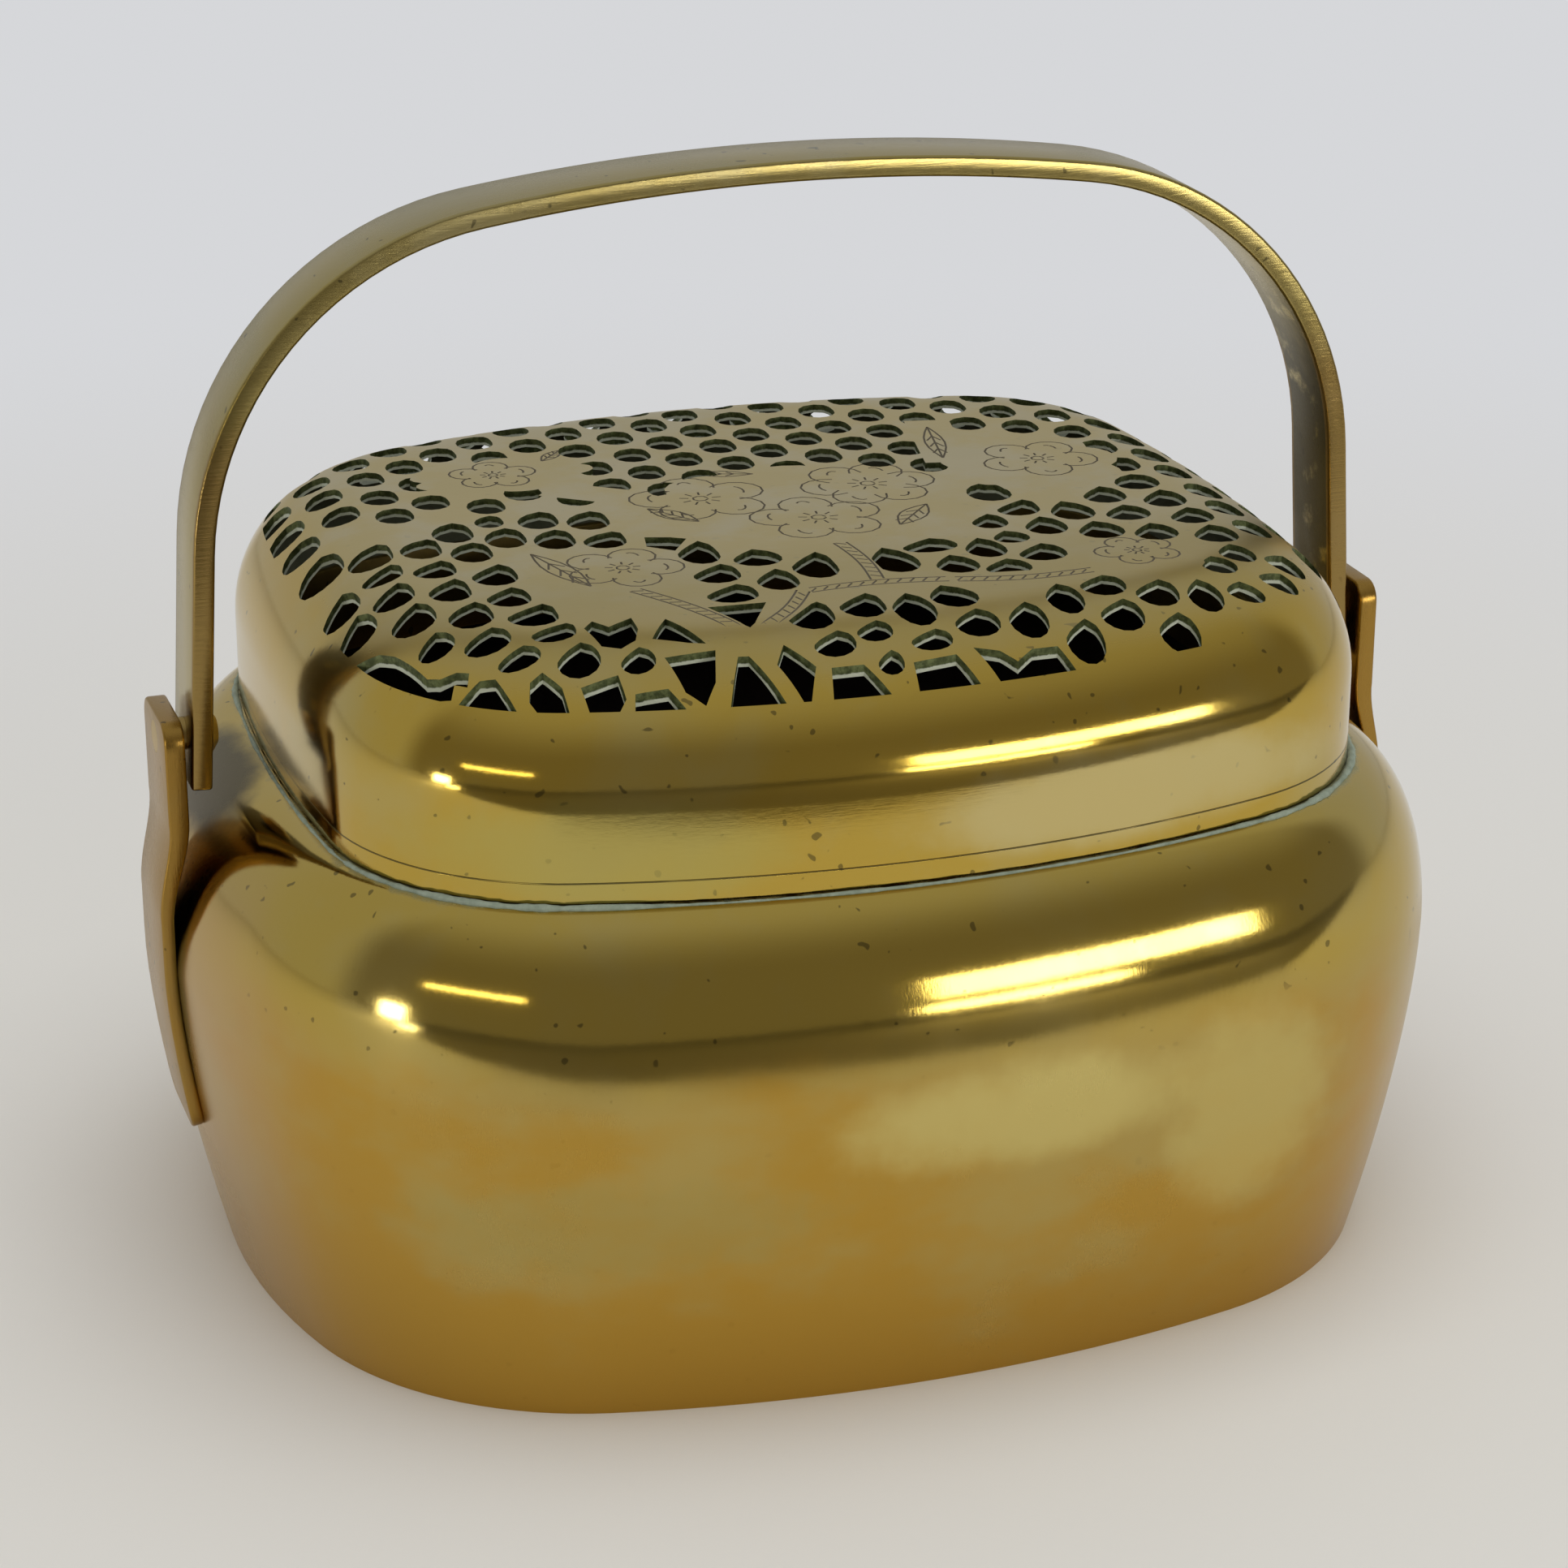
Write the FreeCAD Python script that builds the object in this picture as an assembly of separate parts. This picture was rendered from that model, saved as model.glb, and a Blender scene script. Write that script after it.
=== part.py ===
import FreeCAD, Part
import math
import os

# Hand warmer: a raised brass vessel with a soldered base plate and mouth collar,
# a lift-off cover pierced in fish scales, and a flat bar handle that swings on two
# riveted pins between strap lugs. Millimetres, +Z up, +X along the length, the table
# is z = 0 and the origin is the middle of the footprint. The front faces -Y.

# Vessel
belly_length = 160.0
belly_width = 134.5
belly_height = 41.5
belly_side_bow = 178.0
belly_end_bow = 101.0
belly_corner = 47.0
base_draw_in = 7.0
foot_curve = 1.55
lower_bands = 2
shoulder_height = 63.9
shoulder_fullness = 1.77
shoulder_bands = 3
hollow_lower_bands = 1
hollow_shoulder_bands = 2
vessel_wall = 1.6

# Base plate, let into the foot of the wall
base_plate_thickness = 1.2
base_plate_recess = 0.6

# Cover
cover_end_step = 14.5
cover_side_step = 8.55
cover_side_bow = 155.5
cover_end_bow = 266.0
cover_corner = 30.5
cover_height = 27.3
cover_wall = 1.2
cover_rounding = 16.8
rounding_bands = 3
inside_bands = 2
cover_seat_gap = 0.3

# Mouth collar, the sleeve that the cover slides over
collar_height = 9.0
collar_skirt = 1.5
collar_wall = 1.2
collar_clearance = 0.35

# Fish-scale piercing of the cover
piercing_border = 4.2
scale_pitch_x = 5.85
scale_pitch_y = 8.0
scale_bar = 1.4
scale_height = 6.3
nose_width = 3.4
scale_point = 2.1
point_lean = 0.5
smallest_hole = 3.5
edge_row_depth = 4.4
edge_row_reach = 20.7
edge_window_pitch = 5.6
edge_bar = 1.2
edge_bar_slant = 2.2

# Solid reserves left for the engraved flowers: middle x and y, half length, half width
blossoms = [
    (2.0, -1.5, 21.5, 17.5),
    (-29.5, -23.0, 9.5, 13.0),
    (-30.0, 22.5, 12.0, 7.5),
    (36.0, 7.0, 11.5, 15.0),
    (33.0, -34.0, 9.0, 7.0),
]
petals_round = 9
petal_depth = 0.14
# Stems: from x, y to x, y and half width
stems = [
    (-27.0, -32.0, -18.0, -46.5, 1.9),
    (-18.0, -46.5, -6.0, -32.5, 1.9),
    (-6.0, -32.5, 9.0, -33.5, 1.9),
    (9.0, -33.5, 26.0, -36.0, 1.9),
    (1.5, -18.0, 2.0, -33.0, 2.4),
    (-26.0, 17.0, -17.0, 8.0, 3.0),
    (26.0, 10.0, 30.0, 29.0, 3.0),
]

# Lugs: straps brazed to the ends of the vessel, set in from the belly line at the top
# and hammered thinner at the foot
lug_width = 14.0
lug_thickness = 2.2
lug_foot_thickness = 1.3
lug_above_pivot = 4.8
lug_foot = 21.0
lug_corner = 2.4
bend_top = 61.0
bend_foot = 48.0
lug_inset = 2.5
braze_film = 0.05

# Handle: flat bar bent to an arch
handle_width = 11.3
handle_thickness = 2.6
handle_top = 134.5
handle_bow = 263.0
handle_corner = 41.0
handle_splay = 3.5
handle_foot = 5.6
handle_edge = 0.35
handle_side_gap = 1.3

# Riveted pins
pivot_height = 70.0
pin_radius = 2.0
pin_clearance = 0.05
rivet_head_radius = 2.9
rivet_head_height = 0.9
rivet_head_flat = 1.6
rivet_head_gap = 0.5


def vector(x, y, z=0.0):
    return FreeCAD.Vector(x, y, z)


class Plan:
    """Rounded oblong outline: two bowed sides, two bowed ends, four tangent corners."""

    def __init__(self, length, width, side_bow, end_bow, corner):
        self.length = length
        self.width = width
        self.side_bow = side_bow
        self.end_bow = end_bow
        self.corner = corner

    def grown(self, distance):
        """The parallel outline, larger all round by distance."""
        return Plan(
            self.length + 2 * distance,
            self.width + 2 * distance,
            self.side_bow + distance,
            self.end_bow + distance,
            self.corner + distance,
        )

    def toward(self, other, share):
        """An outline part of the way from this one to another."""
        mixed = []
        for name in ("length", "width", "side_bow", "end_bow", "corner"):
            start = getattr(self, name)
            mixed.append(start + (getattr(other, name) - start) * share)
        return Plan(*mixed)

    def centres(self):
        """Middles of the +Y side arc, the +X end arc and the corner arc between them."""
        side = vector(0, self.width / 2 - self.side_bow)
        end = vector(self.length / 2 - self.end_bow, 0)
        from_side = self.side_bow - self.corner
        from_end = self.end_bow - self.corner
        apart = (end - side).Length
        along = (apart ** 2 + from_side ** 2 - from_end ** 2) / (2 * apart)
        across = math.sqrt(from_side ** 2 - along ** 2)
        step = (end - side).normalize()
        normal = vector(-step.y, step.x)
        if normal.x + normal.y < 0:
            normal = normal * -1
        return side, end, side + step * along + normal * across

    def arcs(self, z):
        """The eight arcs as (centre, radius, start, middle, finish), going round from +X."""
        side, end, corner = self.centres()
        to_side = (corner - side).normalize()
        to_end = (corner - end).normalize()
        on_side = side + to_side * self.side_bow
        on_end = end + to_end * self.end_bow
        mid = corner + (to_side + to_end).normalize() * self.corner
        tip_x = vector(self.length / 2, 0)
        tip_y = vector(0, self.width / 2)
        quarter = [
            (end, self.end_bow, flip(on_end, 1, -1), tip_x, on_end),
            (corner, self.corner, on_end, mid, on_side),
            (side, self.side_bow, on_side, tip_y, flip(on_side, -1, 1)),
            (flip(corner, -1, 1), self.corner, flip(on_side, -1, 1), flip(mid, -1, 1), flip(on_end, -1, 1)),
        ]
        turned = []
        for centre, radius, start, middle, finish in quarter:
            points = [flip(p, -1, -1) for p in (centre, start, middle, finish)]
            turned.append((points[0], radius, points[1], points[2], points[3]))
        lift = vector(0, 0, z)
        raised = []
        for centre, radius, start, middle, finish in quarter + turned:
            raised.append((centre + lift, radius, start + lift, middle + lift, finish + lift))
        return raised

    def wire(self, z=0.0):
        edges = [Part.Arc(start, middle, finish).toShape() for _, _, start, middle, finish in self.arcs(z)]
        return Part.Wire(edges)

    def face(self, z=0.0):
        return Part.Face(self.wire(z))

    def prism(self, z_low, z_high):
        return self.face(z_low).extrude(vector(0, 0, z_high - z_low))


def flip(point, sign_x, sign_y):
    return vector(point.x * sign_x, point.y * sign_y, point.z)


cover_length = belly_length - 2 * cover_end_step
cover_width = belly_width - 2 * cover_side_step
belly = Plan(belly_length, belly_width, belly_side_bow, belly_end_bow, belly_corner)
cover = Plan(cover_length, cover_width, cover_side_bow, cover_end_bow, cover_corner)
collar = cover.grown(-cover_wall - collar_clearance)
cover_foot = shoulder_height + cover_seat_gap
cover_crown = cover_foot + cover_height
lug_standoff = belly_length / 2 - lug_inset
lug_top = pivot_height + lug_above_pivot
edge_row_start = edge_row_reach - cover_width / 2


def wall_draw_in(z):
    """How far the lower wall lies inside the belly ring at a height."""
    return base_draw_in * (1 - z / belly_height) ** foot_curve


def stacked(rings):
    """Solid through outlines given as (plan, height) from the bottom up."""
    return Part.makeLoft([plan.wire(z) for plan, z in rings], True, True)


def vessel_form(inset, foot, top, wall_bands, top_bands):
    """The vessel's outer form, or with an inset the hollow inside it."""
    ring = belly.grown(-inset)
    rings = []
    for band in range(wall_bands):
        z = foot + (belly_height - foot) * band / wall_bands
        rings.append((ring.grown(-wall_draw_in(z)), z))
    for band in range(top_bands + 1):
        angle = math.pi / 2 * band / top_bands
        inward = 1 - math.cos(angle) ** (2 / shoulder_fullness)
        upward = math.sin(angle) ** (2 / shoulder_fullness)
        rings.append((ring.toward(cover, inward), belly_height + (top - belly_height) * upward))
    return stacked(rings)


def make_vessel(outside):
    """Raised wall with the rounded shoulder, open at the mouth and let out for the base plate."""
    plate_top = base_plate_recess + base_plate_thickness
    ceiling = shoulder_height - vessel_wall
    hollow = vessel_form(vessel_wall, plate_top, ceiling, hollow_lower_bands, hollow_shoulder_bands)
    mouth = collar.prism(shoulder_height - 2 * vessel_wall, shoulder_height + vessel_wall)
    rebate = base_seat().prism(-vessel_wall, plate_top + vessel_wall / 2)
    return outside.cut(hollow).cut(mouth).cut(rebate)


def base_seat():
    return belly.grown(-base_draw_in - vessel_wall)


def make_base_plate():
    return base_seat().prism(base_plate_recess, base_plate_recess + base_plate_thickness)


def make_collar():
    foot = shoulder_height - vessel_wall - collar_skirt
    top = shoulder_height + collar_height
    band = collar.prism(foot, top)
    return band.cut(collar.grown(-collar_wall).prism(foot - 1, top + 1))


def cover_form(inset, foot, bands):
    """The cover's outer form, or with an inset the hollow under it."""
    rounding = cover_rounding - inset
    spring = cover_crown - cover_rounding
    rings = [(cover.grown(-inset), foot)]
    for band in range(bands + 1):
        angle = math.pi / 2 * band / bands
        drawn_in = inset + rounding * (1 - math.cos(angle))
        rings.append((cover.grown(-drawn_in), spring + rounding * math.sin(angle)))
    return stacked(rings)


def cover_blank():
    """The raised cover before piercing."""
    hollow = cover_form(cover_wall, cover_foot - 1, inside_bands)
    return cover_form(0.0, cover_foot, rounding_bands).cut(hollow)


def polygon(corners):
    """Face from its corners, taken in order."""
    return Part.Face(Part.makePolygon(corners + corners[:1]))


def scale(x, y):
    """One pierced scale: blunt nose to the front, leaning point to the back."""
    half = (scale_pitch_x - scale_bar) / 2
    low = y - scale_height / 2
    high = y + scale_height / 2
    return polygon([
        vector(x - nose_width / 2, low),
        vector(x + nose_width / 2, low),
        vector(x + half, high - scale_point),
        vector(x + point_lean, high),
        vector(x - half, high - scale_point),
    ])


def scale_field():
    """Rows of scales over the whole top, every other column moved by half a pitch."""
    columns = int(cover_length / 2 / scale_pitch_x)
    rows = int(cover_width / 2 / scale_pitch_y)
    scales = []
    for column in range(-columns, columns + 1):
        shift = scale_pitch_y / 2 if column % 2 else 0.0
        for row in range(-rows - 1, rows + 1):
            scales.append(scale(column * scale_pitch_x, row * scale_pitch_y + shift))
    return scales


def edge_windows():
    """Windows between slanting bars, in a strip along the front edge."""
    strip = cover.grown(-piercing_border).face().cut(cover.grown(edge_bar - piercing_border - edge_row_depth).face())
    near = -cover_width / 2
    slope = edge_bar_slant / edge_row_depth
    count = int(cover_length / 2 / edge_window_pitch)
    windows = []
    for number in range(-count, count):
        left = number * edge_window_pitch
        right = left + edge_window_pitch - edge_bar
        drift = slope * (edge_row_start - near)
        quad = polygon([
            vector(left, near),
            vector(right, near),
            vector(right - drift, edge_row_start),
            vector(left - drift, edge_row_start),
        ])
        windows.append(quad.common(strip))
    return windows


def reserves():
    """Solid grounds of the engraved flowers and of the stems that join them."""
    grounds = [blossom(*row) for row in blossoms]
    for x1, y1, x2, y2, half in stems:
        start = vector(x1, y1)
        run = vector(x2 - x1, y2 - y1)
        side = vector(-run.y, run.x).normalize() * half
        grounds.append(polygon([start + side, start - side, start + run - side, start + run + side]))
    return grounds


def blossom(x, y, half_length, half_width):
    """Lobed ground of one flower, four straight cuts to a petal."""
    corners = []
    count = 4 * petals_round
    for number in range(count):
        angle = 2 * math.pi * number / count
        reach = 1 - petal_depth * (1 - math.cos(petals_round * angle)) / 2
        corners.append(vector(x + half_length * reach * math.cos(angle), y + half_width * reach * math.sin(angle)))
    return polygon(corners)


def clipped(opening, field, grounds):
    """An opening kept inside the field and off the solid grounds that it reaches."""
    opening = opening.common(field)
    for ground in grounds:
        if opening.Faces and opening.BoundBox.intersect(ground.BoundBox):
            opening = opening.cut(ground)
    return [face for face in opening.Faces if face.Area >= smallest_hole]


def piercing():
    """All the sawn openings as one set of upright prisms."""
    whole = cover.grown(-piercing_border).face()
    behind = cover.grown(-piercing_border - edge_row_depth).face()
    back = Part.makePlane(cover_length, cover_width, vector(-cover_length / 2, edge_row_start))
    field = whole.common(back).fuse(behind).removeSplitter()
    grounds = reserves()
    openings = []
    for opening in scale_field():
        openings += clipped(opening, field, grounds)
    for opening in edge_windows():
        openings += clipped(opening, whole, grounds)
    tools = []
    for opening in openings:
        opening.translate(vector(0, 0, cover_foot))
        tools.append(opening.extrude(vector(0, 0, cover_height + 1)))
    return tools


def make_cover():
    return cover_blank().cut(Part.makeCompound(piercing()))


def strap_line(top_offset, foot_offset):
    """Side view of one face of a lug's strap, from its top down, offset outward."""
    inner = lug_standoff + top_offset
    outer = belly_length / 2 + foot_offset
    step = (outer - inner) / 2
    half_drop = (bend_top - bend_foot) / 2
    middle = vector(inner + step, 0, bend_foot + half_drop)
    foot_draw = wall_draw_in(lug_foot)
    bend_radius = (step ** 2 + half_drop ** 2) / (2 * step)
    swing = math.asin(half_drop / bend_radius) / 2
    upper_mid = vector(
        inner + bend_radius * (1 - math.cos(swing)), 0, bend_top - bend_radius * math.sin(swing)
    )
    lower_mid = vector(
        outer - bend_radius * (1 - math.cos(swing)), 0, bend_foot + bend_radius * math.sin(swing)
    )
    fall = belly_height - lug_foot
    wall_radius = (fall ** 2 + foot_draw ** 2) / (2 * foot_draw)
    half_swing = math.asin(fall / wall_radius) / 2
    wall_mid = vector(
        outer - wall_radius * (1 - math.cos(half_swing)), 0, belly_height - wall_radius * math.sin(half_swing)
    )
    top = vector(inner, 0, lug_top)
    bend_start = vector(inner, 0, bend_top)
    bend_end = vector(outer, 0, bend_foot)
    belly_point = vector(outer, 0, belly_height)
    foot = vector(outer - foot_draw, 0, lug_foot)
    return [
        Part.LineSegment(top, bend_start).toShape(),
        Part.Arc(bend_start, upper_mid, middle).toShape(),
        Part.Arc(middle, lower_mid, bend_end).toShape(),
        Part.LineSegment(bend_end, belly_point).toShape(),
        Part.Arc(belly_point, wall_mid, foot).toShape(),
    ], top, foot


def make_lug():
    """Right-hand lug: a strap that stands off at the top and lies on the vessel below."""
    bedding = 0.3
    outside = vessel_form(-braze_film, 0.0, shoulder_height, lower_bands, shoulder_bands)
    inner_edges, inner_top, inner_foot = strap_line(-bedding, -bedding)
    outer_edges, outer_top, outer_foot = strap_line(lug_thickness, lug_foot_thickness)
    edges = inner_edges + outer_edges
    edges.append(Part.LineSegment(inner_top, outer_top).toShape())
    edges.append(Part.LineSegment(inner_foot, outer_foot).toShape())
    side = Part.Face(Part.Wire(Part.__sortEdges__(edges)))
    side.translate(vector(0, -lug_width / 2))
    strap = side.extrude(vector(0, lug_width))
    corners = []
    for edge in strap.Edges:
        ends = [vertex.Point for vertex in edge.Vertexes]
        if len(ends) == 2 and abs(ends[0].y - ends[1].y) < 1e-6 and abs(ends[0].z - ends[1].z) < 1e-6:
            corners.append(edge)
    strap = strap.makeFillet(lug_corner, corners)
    hole = Part.makeCylinder(pin_radius, belly_length, vector(0, 0, pivot_height), vector(1, 0, 0))
    return strap.cut(outside).cut(hole)


def leg_middle():
    """Distance from the middle to a handle leg's centre line at the pivot."""
    return lug_standoff - handle_side_gap - handle_thickness / 2


def arch_line(offset):
    """The handle's centre line, or a line beside it, from the left foot to the right."""
    splay = math.radians(handle_splay)
    bow = handle_bow + offset
    corner = handle_corner + offset
    rise = handle_top - handle_bow
    reach = handle_bow - handle_corner
    corner_x, corner_z = arch_corner(rise, reach)
    lean_start = vector(corner_x + corner * math.cos(splay), 0, corner_z + corner * math.sin(splay))
    meet = math.atan2(corner_z - rise, corner_x)
    join = vector(bow * math.cos(meet), 0, rise + bow * math.sin(meet))
    half = (splay + meet) / 2
    mid = vector(corner_x + corner * math.cos(half), 0, corner_z + corner * math.sin(half))
    leg = (lean_start.z - pivot_height + handle_foot) / math.cos(splay)
    foot = lean_start + vector(math.sin(splay), 0, -math.cos(splay)) * leg
    crown = vector(0, 0, rise + bow)
    right = [
        Part.Arc(crown, turned(join, rise, bow), join).toShape(),
        Part.Arc(join, mid, lean_start).toShape(),
        Part.LineSegment(lean_start, foot).toShape(),
    ]
    return right, crown, foot


def arch_corner(rise, reach):
    """Centre of the handle's right corner arc, so that the splayed leg passes the pivot."""
    splay = math.radians(handle_splay)
    corner_x = leg_middle() - handle_corner
    corner_z = rise + reach
    for _ in range(20):
        corner_z = rise + math.sqrt(reach ** 2 - corner_x ** 2)
        start_z = corner_z + handle_corner * math.sin(splay)
        run = (start_z - pivot_height) * math.tan(splay)
        corner_x = leg_middle() - run - handle_corner * math.cos(splay)
    return corner_x, corner_z


def turned(join, rise, bow):
    """Point half way along the top arc between the crown and its join with the corner."""
    angle = (math.pi / 2 + math.atan2(join.z - rise, join.x)) / 2
    return vector(bow * math.cos(angle), 0, rise + bow * math.sin(angle))


def make_handle():
    """Flat bar bent to an arch, with broken edges and a pin hole in each foot."""
    outer, outer_crown, outer_foot = arch_line(handle_thickness / 2)
    inner, inner_crown, inner_foot = arch_line(-handle_thickness / 2)
    edges = outer + inner
    edges.append(Part.LineSegment(outer_crown, inner_crown).toShape())
    edges.append(Part.LineSegment(outer_foot, inner_foot).toShape())
    side = Part.Face(Part.Wire(Part.__sortEdges__(edges)))
    side.translate(vector(0, -handle_width / 2))
    half = side.extrude(vector(0, handle_width))
    bar = half.fuse(half.mirror(vector(0, 0), vector(1, 0, 0))).removeSplitter()
    long_edges = []
    for edge in bar.Edges:
        box = edge.BoundBox
        if box.YLength < 1e-6 and (box.XLength > handle_thickness * 2 or box.ZLength > handle_thickness * 2):
            long_edges.append(edge)
    bar = bar.makeChamfer(handle_edge, long_edges)
    hole = Part.makeCylinder(
        pin_radius + pin_clearance, belly_length, vector(-belly_length / 2, 0, pivot_height), vector(1, 0, 0)
    )
    return bar.cut(hole)


def make_pin():
    """Right-hand pin: flush with the lug outside, with a hammered rivet head inside the leg."""
    outer = lug_standoff + lug_thickness
    head_face = leg_middle() - handle_thickness / 2 - rivet_head_gap
    shank = Part.makeCylinder(
        pin_radius, outer - head_face, vector(head_face, 0, pivot_height), vector(1, 0, 0)
    )
    head = Part.makeCone(
        rivet_head_radius,
        rivet_head_flat,
        rivet_head_height,
        vector(head_face, 0, pivot_height),
        vector(-1, 0, 0),
    )
    return shank.fuse(head).removeSplitter()


def mirrored(shape):
    return shape.mirror(vector(0, 0), vector(1, 0, 0))


def main():
    os.makedirs("parts", exist_ok=True)
    outside = vessel_form(0.0, 0.0, shoulder_height, lower_bands, shoulder_bands)
    lug = make_lug()
    pin = make_pin()
    nodes = {
        "vessel": make_vessel(outside),
        "base_plate": make_base_plate(),
        "mouth_collar": make_collar(),
        "pierced_cover": make_cover(),
        "handle": make_handle(),
        "lug_right": lug,
        "lug_left": mirrored(lug),
        "pivot_pin_right": pin,
        "pivot_pin_left": mirrored(pin),
    }
    for name, shape in nodes.items():
        shape.exportStep("parts/%s.step" % name)
        print(name, len(shape.Solids), shape.isValid(), round(shape.Volume, 1))


main()
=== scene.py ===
# %% [markdown]
# # A brass hand warmer
# The object is a small brazier that was carried in two hands: a raised oblong vessel for
# hot charcoal, a lift-off cover pierced in fish scales round solid flowers, and a flat bar
# handle that swings between two strap lugs. The measured model is loaded first and stays
# as it is. Every piece below is then made in the same frame, in metres.

# %% Load the measured model
import math
import random
from collections import namedtuple

import bmesh
import bpy
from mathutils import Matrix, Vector


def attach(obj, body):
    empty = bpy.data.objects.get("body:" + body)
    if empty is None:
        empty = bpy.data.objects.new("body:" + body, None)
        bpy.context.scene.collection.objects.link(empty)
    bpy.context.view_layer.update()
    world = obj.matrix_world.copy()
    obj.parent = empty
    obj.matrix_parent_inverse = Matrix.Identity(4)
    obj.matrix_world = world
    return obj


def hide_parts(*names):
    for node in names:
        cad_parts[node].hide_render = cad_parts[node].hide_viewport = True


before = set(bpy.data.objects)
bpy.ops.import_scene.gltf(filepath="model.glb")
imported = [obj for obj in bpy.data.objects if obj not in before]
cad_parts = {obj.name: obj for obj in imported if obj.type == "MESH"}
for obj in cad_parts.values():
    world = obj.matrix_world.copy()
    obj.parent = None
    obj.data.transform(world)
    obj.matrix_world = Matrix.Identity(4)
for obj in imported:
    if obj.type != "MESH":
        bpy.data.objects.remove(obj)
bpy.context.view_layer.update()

MM = 0.001

# %% [markdown]
# ## The two outlines
# Seen from above, the belly and the cover are oblongs with bowed sides and round corners.
# Eight arcs that meet without a kink describe each one: two sides, two ends, four corners.
# A parallel outline only changes the sizes by one distance, and a mix of two outlines
# gives every ring between belly and cover. That keeps the whole form to ten numbers.

# %% Outlines made of tangent arcs
Outline = namedtuple("Outline", "length width side_bow end_bow corner")
BELLY = Outline(160.0, 134.5, 178.0, 101.0, 47.0)
COVER = Outline(131.0, 117.4, 155.5, 266.0, 30.5)
END_STEPS, CORNER_STEPS, SIDE_STEPS = 8, 18, 10


def grown(plan, distance):
    """The parallel outline, larger all round by distance in millimetres."""
    return Outline(plan.length + 2 * distance, plan.width + 2 * distance, *(size + distance for size in plan[2:]))


def between(plan, other, share):
    """The outline part of the way from one to another."""
    return Outline(*(a + (b - a) * share for a, b in zip(plan, other)))


def quarter(plan):
    """Corner arc centre, and the angles at which it meets the end arc and the side arc."""
    side = Vector((0, plan.width / 2 - plan.side_bow))
    end = Vector((plan.length / 2 - plan.end_bow, 0))
    from_side = plan.side_bow - plan.corner
    from_end = plan.end_bow - plan.corner
    apart = (end - side).length
    along = (apart ** 2 + from_side ** 2 - from_end ** 2) / (2 * apart)
    across = math.sqrt(from_side ** 2 - along ** 2)
    step = (end - side).normalized()
    normal = Vector((-step.y, step.x))
    if normal.x + normal.y < 0:
        normal.negate()
    centre = side + step * along + normal * across
    to_end = centre - end
    to_side = centre - side
    return side, end, centre, math.atan2(to_end.y, to_end.x), math.atan2(to_side.y, to_side.x)


def ring(plan, z):
    """Points round an outline at a height, in metres."""
    side, end, centre, low, high = quarter(plan)
    points = []
    for middle, radius, start, finish, steps in (
        (end, plan.end_bow, 0.0, low, END_STEPS),
        (centre, plan.corner, low, high, CORNER_STEPS),
        (side, plan.side_bow, high, math.pi / 2, SIDE_STEPS),
    ):
        for step in range(steps):
            angle = start + (finish - start) * step / steps
            points.append((middle.x + radius * math.cos(angle), middle.y + radius * math.sin(angle)))
    points.append((0.0, plan.width / 2))
    left = [(-x, y) for x, y in reversed(points[:-1])]
    half = points + left
    back = [(x, -y) for x, y in reversed(half[1:-1])]
    return [(x * MM, y * MM, z * MM) for x, y in half + back]


RING_POINTS = len(ring(COVER, 0))
print("points in a ring:", RING_POINTS)

# %% [markdown]
# ## Camera
# The photograph looks down a little from the left of the front, with a long lens. The
# angles, the distance and the lens come from fitting the outline of the real object.


# %% Camera
def aim(obj, azimuth, elevation, distance, target):
    """Puts an object on a sphere round the target and turns it to look at the target."""
    turn, lift = math.radians(azimuth), math.radians(elevation)
    back = Vector((math.sin(turn) * math.cos(lift), -math.cos(turn) * math.cos(lift), math.sin(lift)))
    obj.location = target + back * distance
    obj.rotation_euler = back.to_track_quat("Z", "Y").to_euler()


TARGET = Vector((0, 0, 55.2 * MM))
camera = bpy.data.objects.new("camera", bpy.data.cameras.new("camera"))
bpy.context.collection.objects.link(camera)
aim(camera, -18.5, 21.11, 515.2 * MM, TARGET)
camera.data.sensor_width = 36.0
camera.data.lens = 92.61
camera.data.shift_x = 0.00165
camera.data.shift_y = -0.0057
camera.data.clip_start = 0.01
bpy.context.scene.camera = camera
bpy.context.scene.view_settings.view_transform = "Standard"
print("camera at", tuple(round(value, 3) for value in camera.location))

# %% [markdown]
# ## Shader maths
# Patina is arithmetic on noise: where a cloud is dense the metal is paler, where the sheet
# was rubbed it is smoother. Writing that as Python expressions is easier to read than
# wiring nodes one by one. The class below wraps one socket, and each operator adds the
# Math node that does the same.


# %% A socket that does arithmetic
class Value:
    """One output socket. Arithmetic on it adds the Math nodes that work it out."""

    def __init__(self, finish, socket):
        self.finish = finish
        self.socket = socket

    def maths(self, operation, *terms, clamp=False):
        return self.finish.node("Math", {number: term for number, term in enumerate(terms)},
                                operation=operation, use_clamp=clamp)

    def __add__(self, other):
        return self.maths("ADD", self, other)

    def __sub__(self, other):
        return self.maths("SUBTRACT", self, other)

    def __rsub__(self, other):
        return self.maths("SUBTRACT", other, self)

    def __mul__(self, other):
        return self.maths("MULTIPLY", self, other)

    def __truediv__(self, other):
        return self.maths("DIVIDE", self, other)

    __radd__ = __add__
    __rmul__ = __mul__

    def clamped(self):
        return self.maths("ADD", self, 0.0, clamp=True)

    def power(self, exponent):
        return self.maths("POWER", self, exponent)

    def size(self):
        return self.maths("ABSOLUTE", self)


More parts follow.
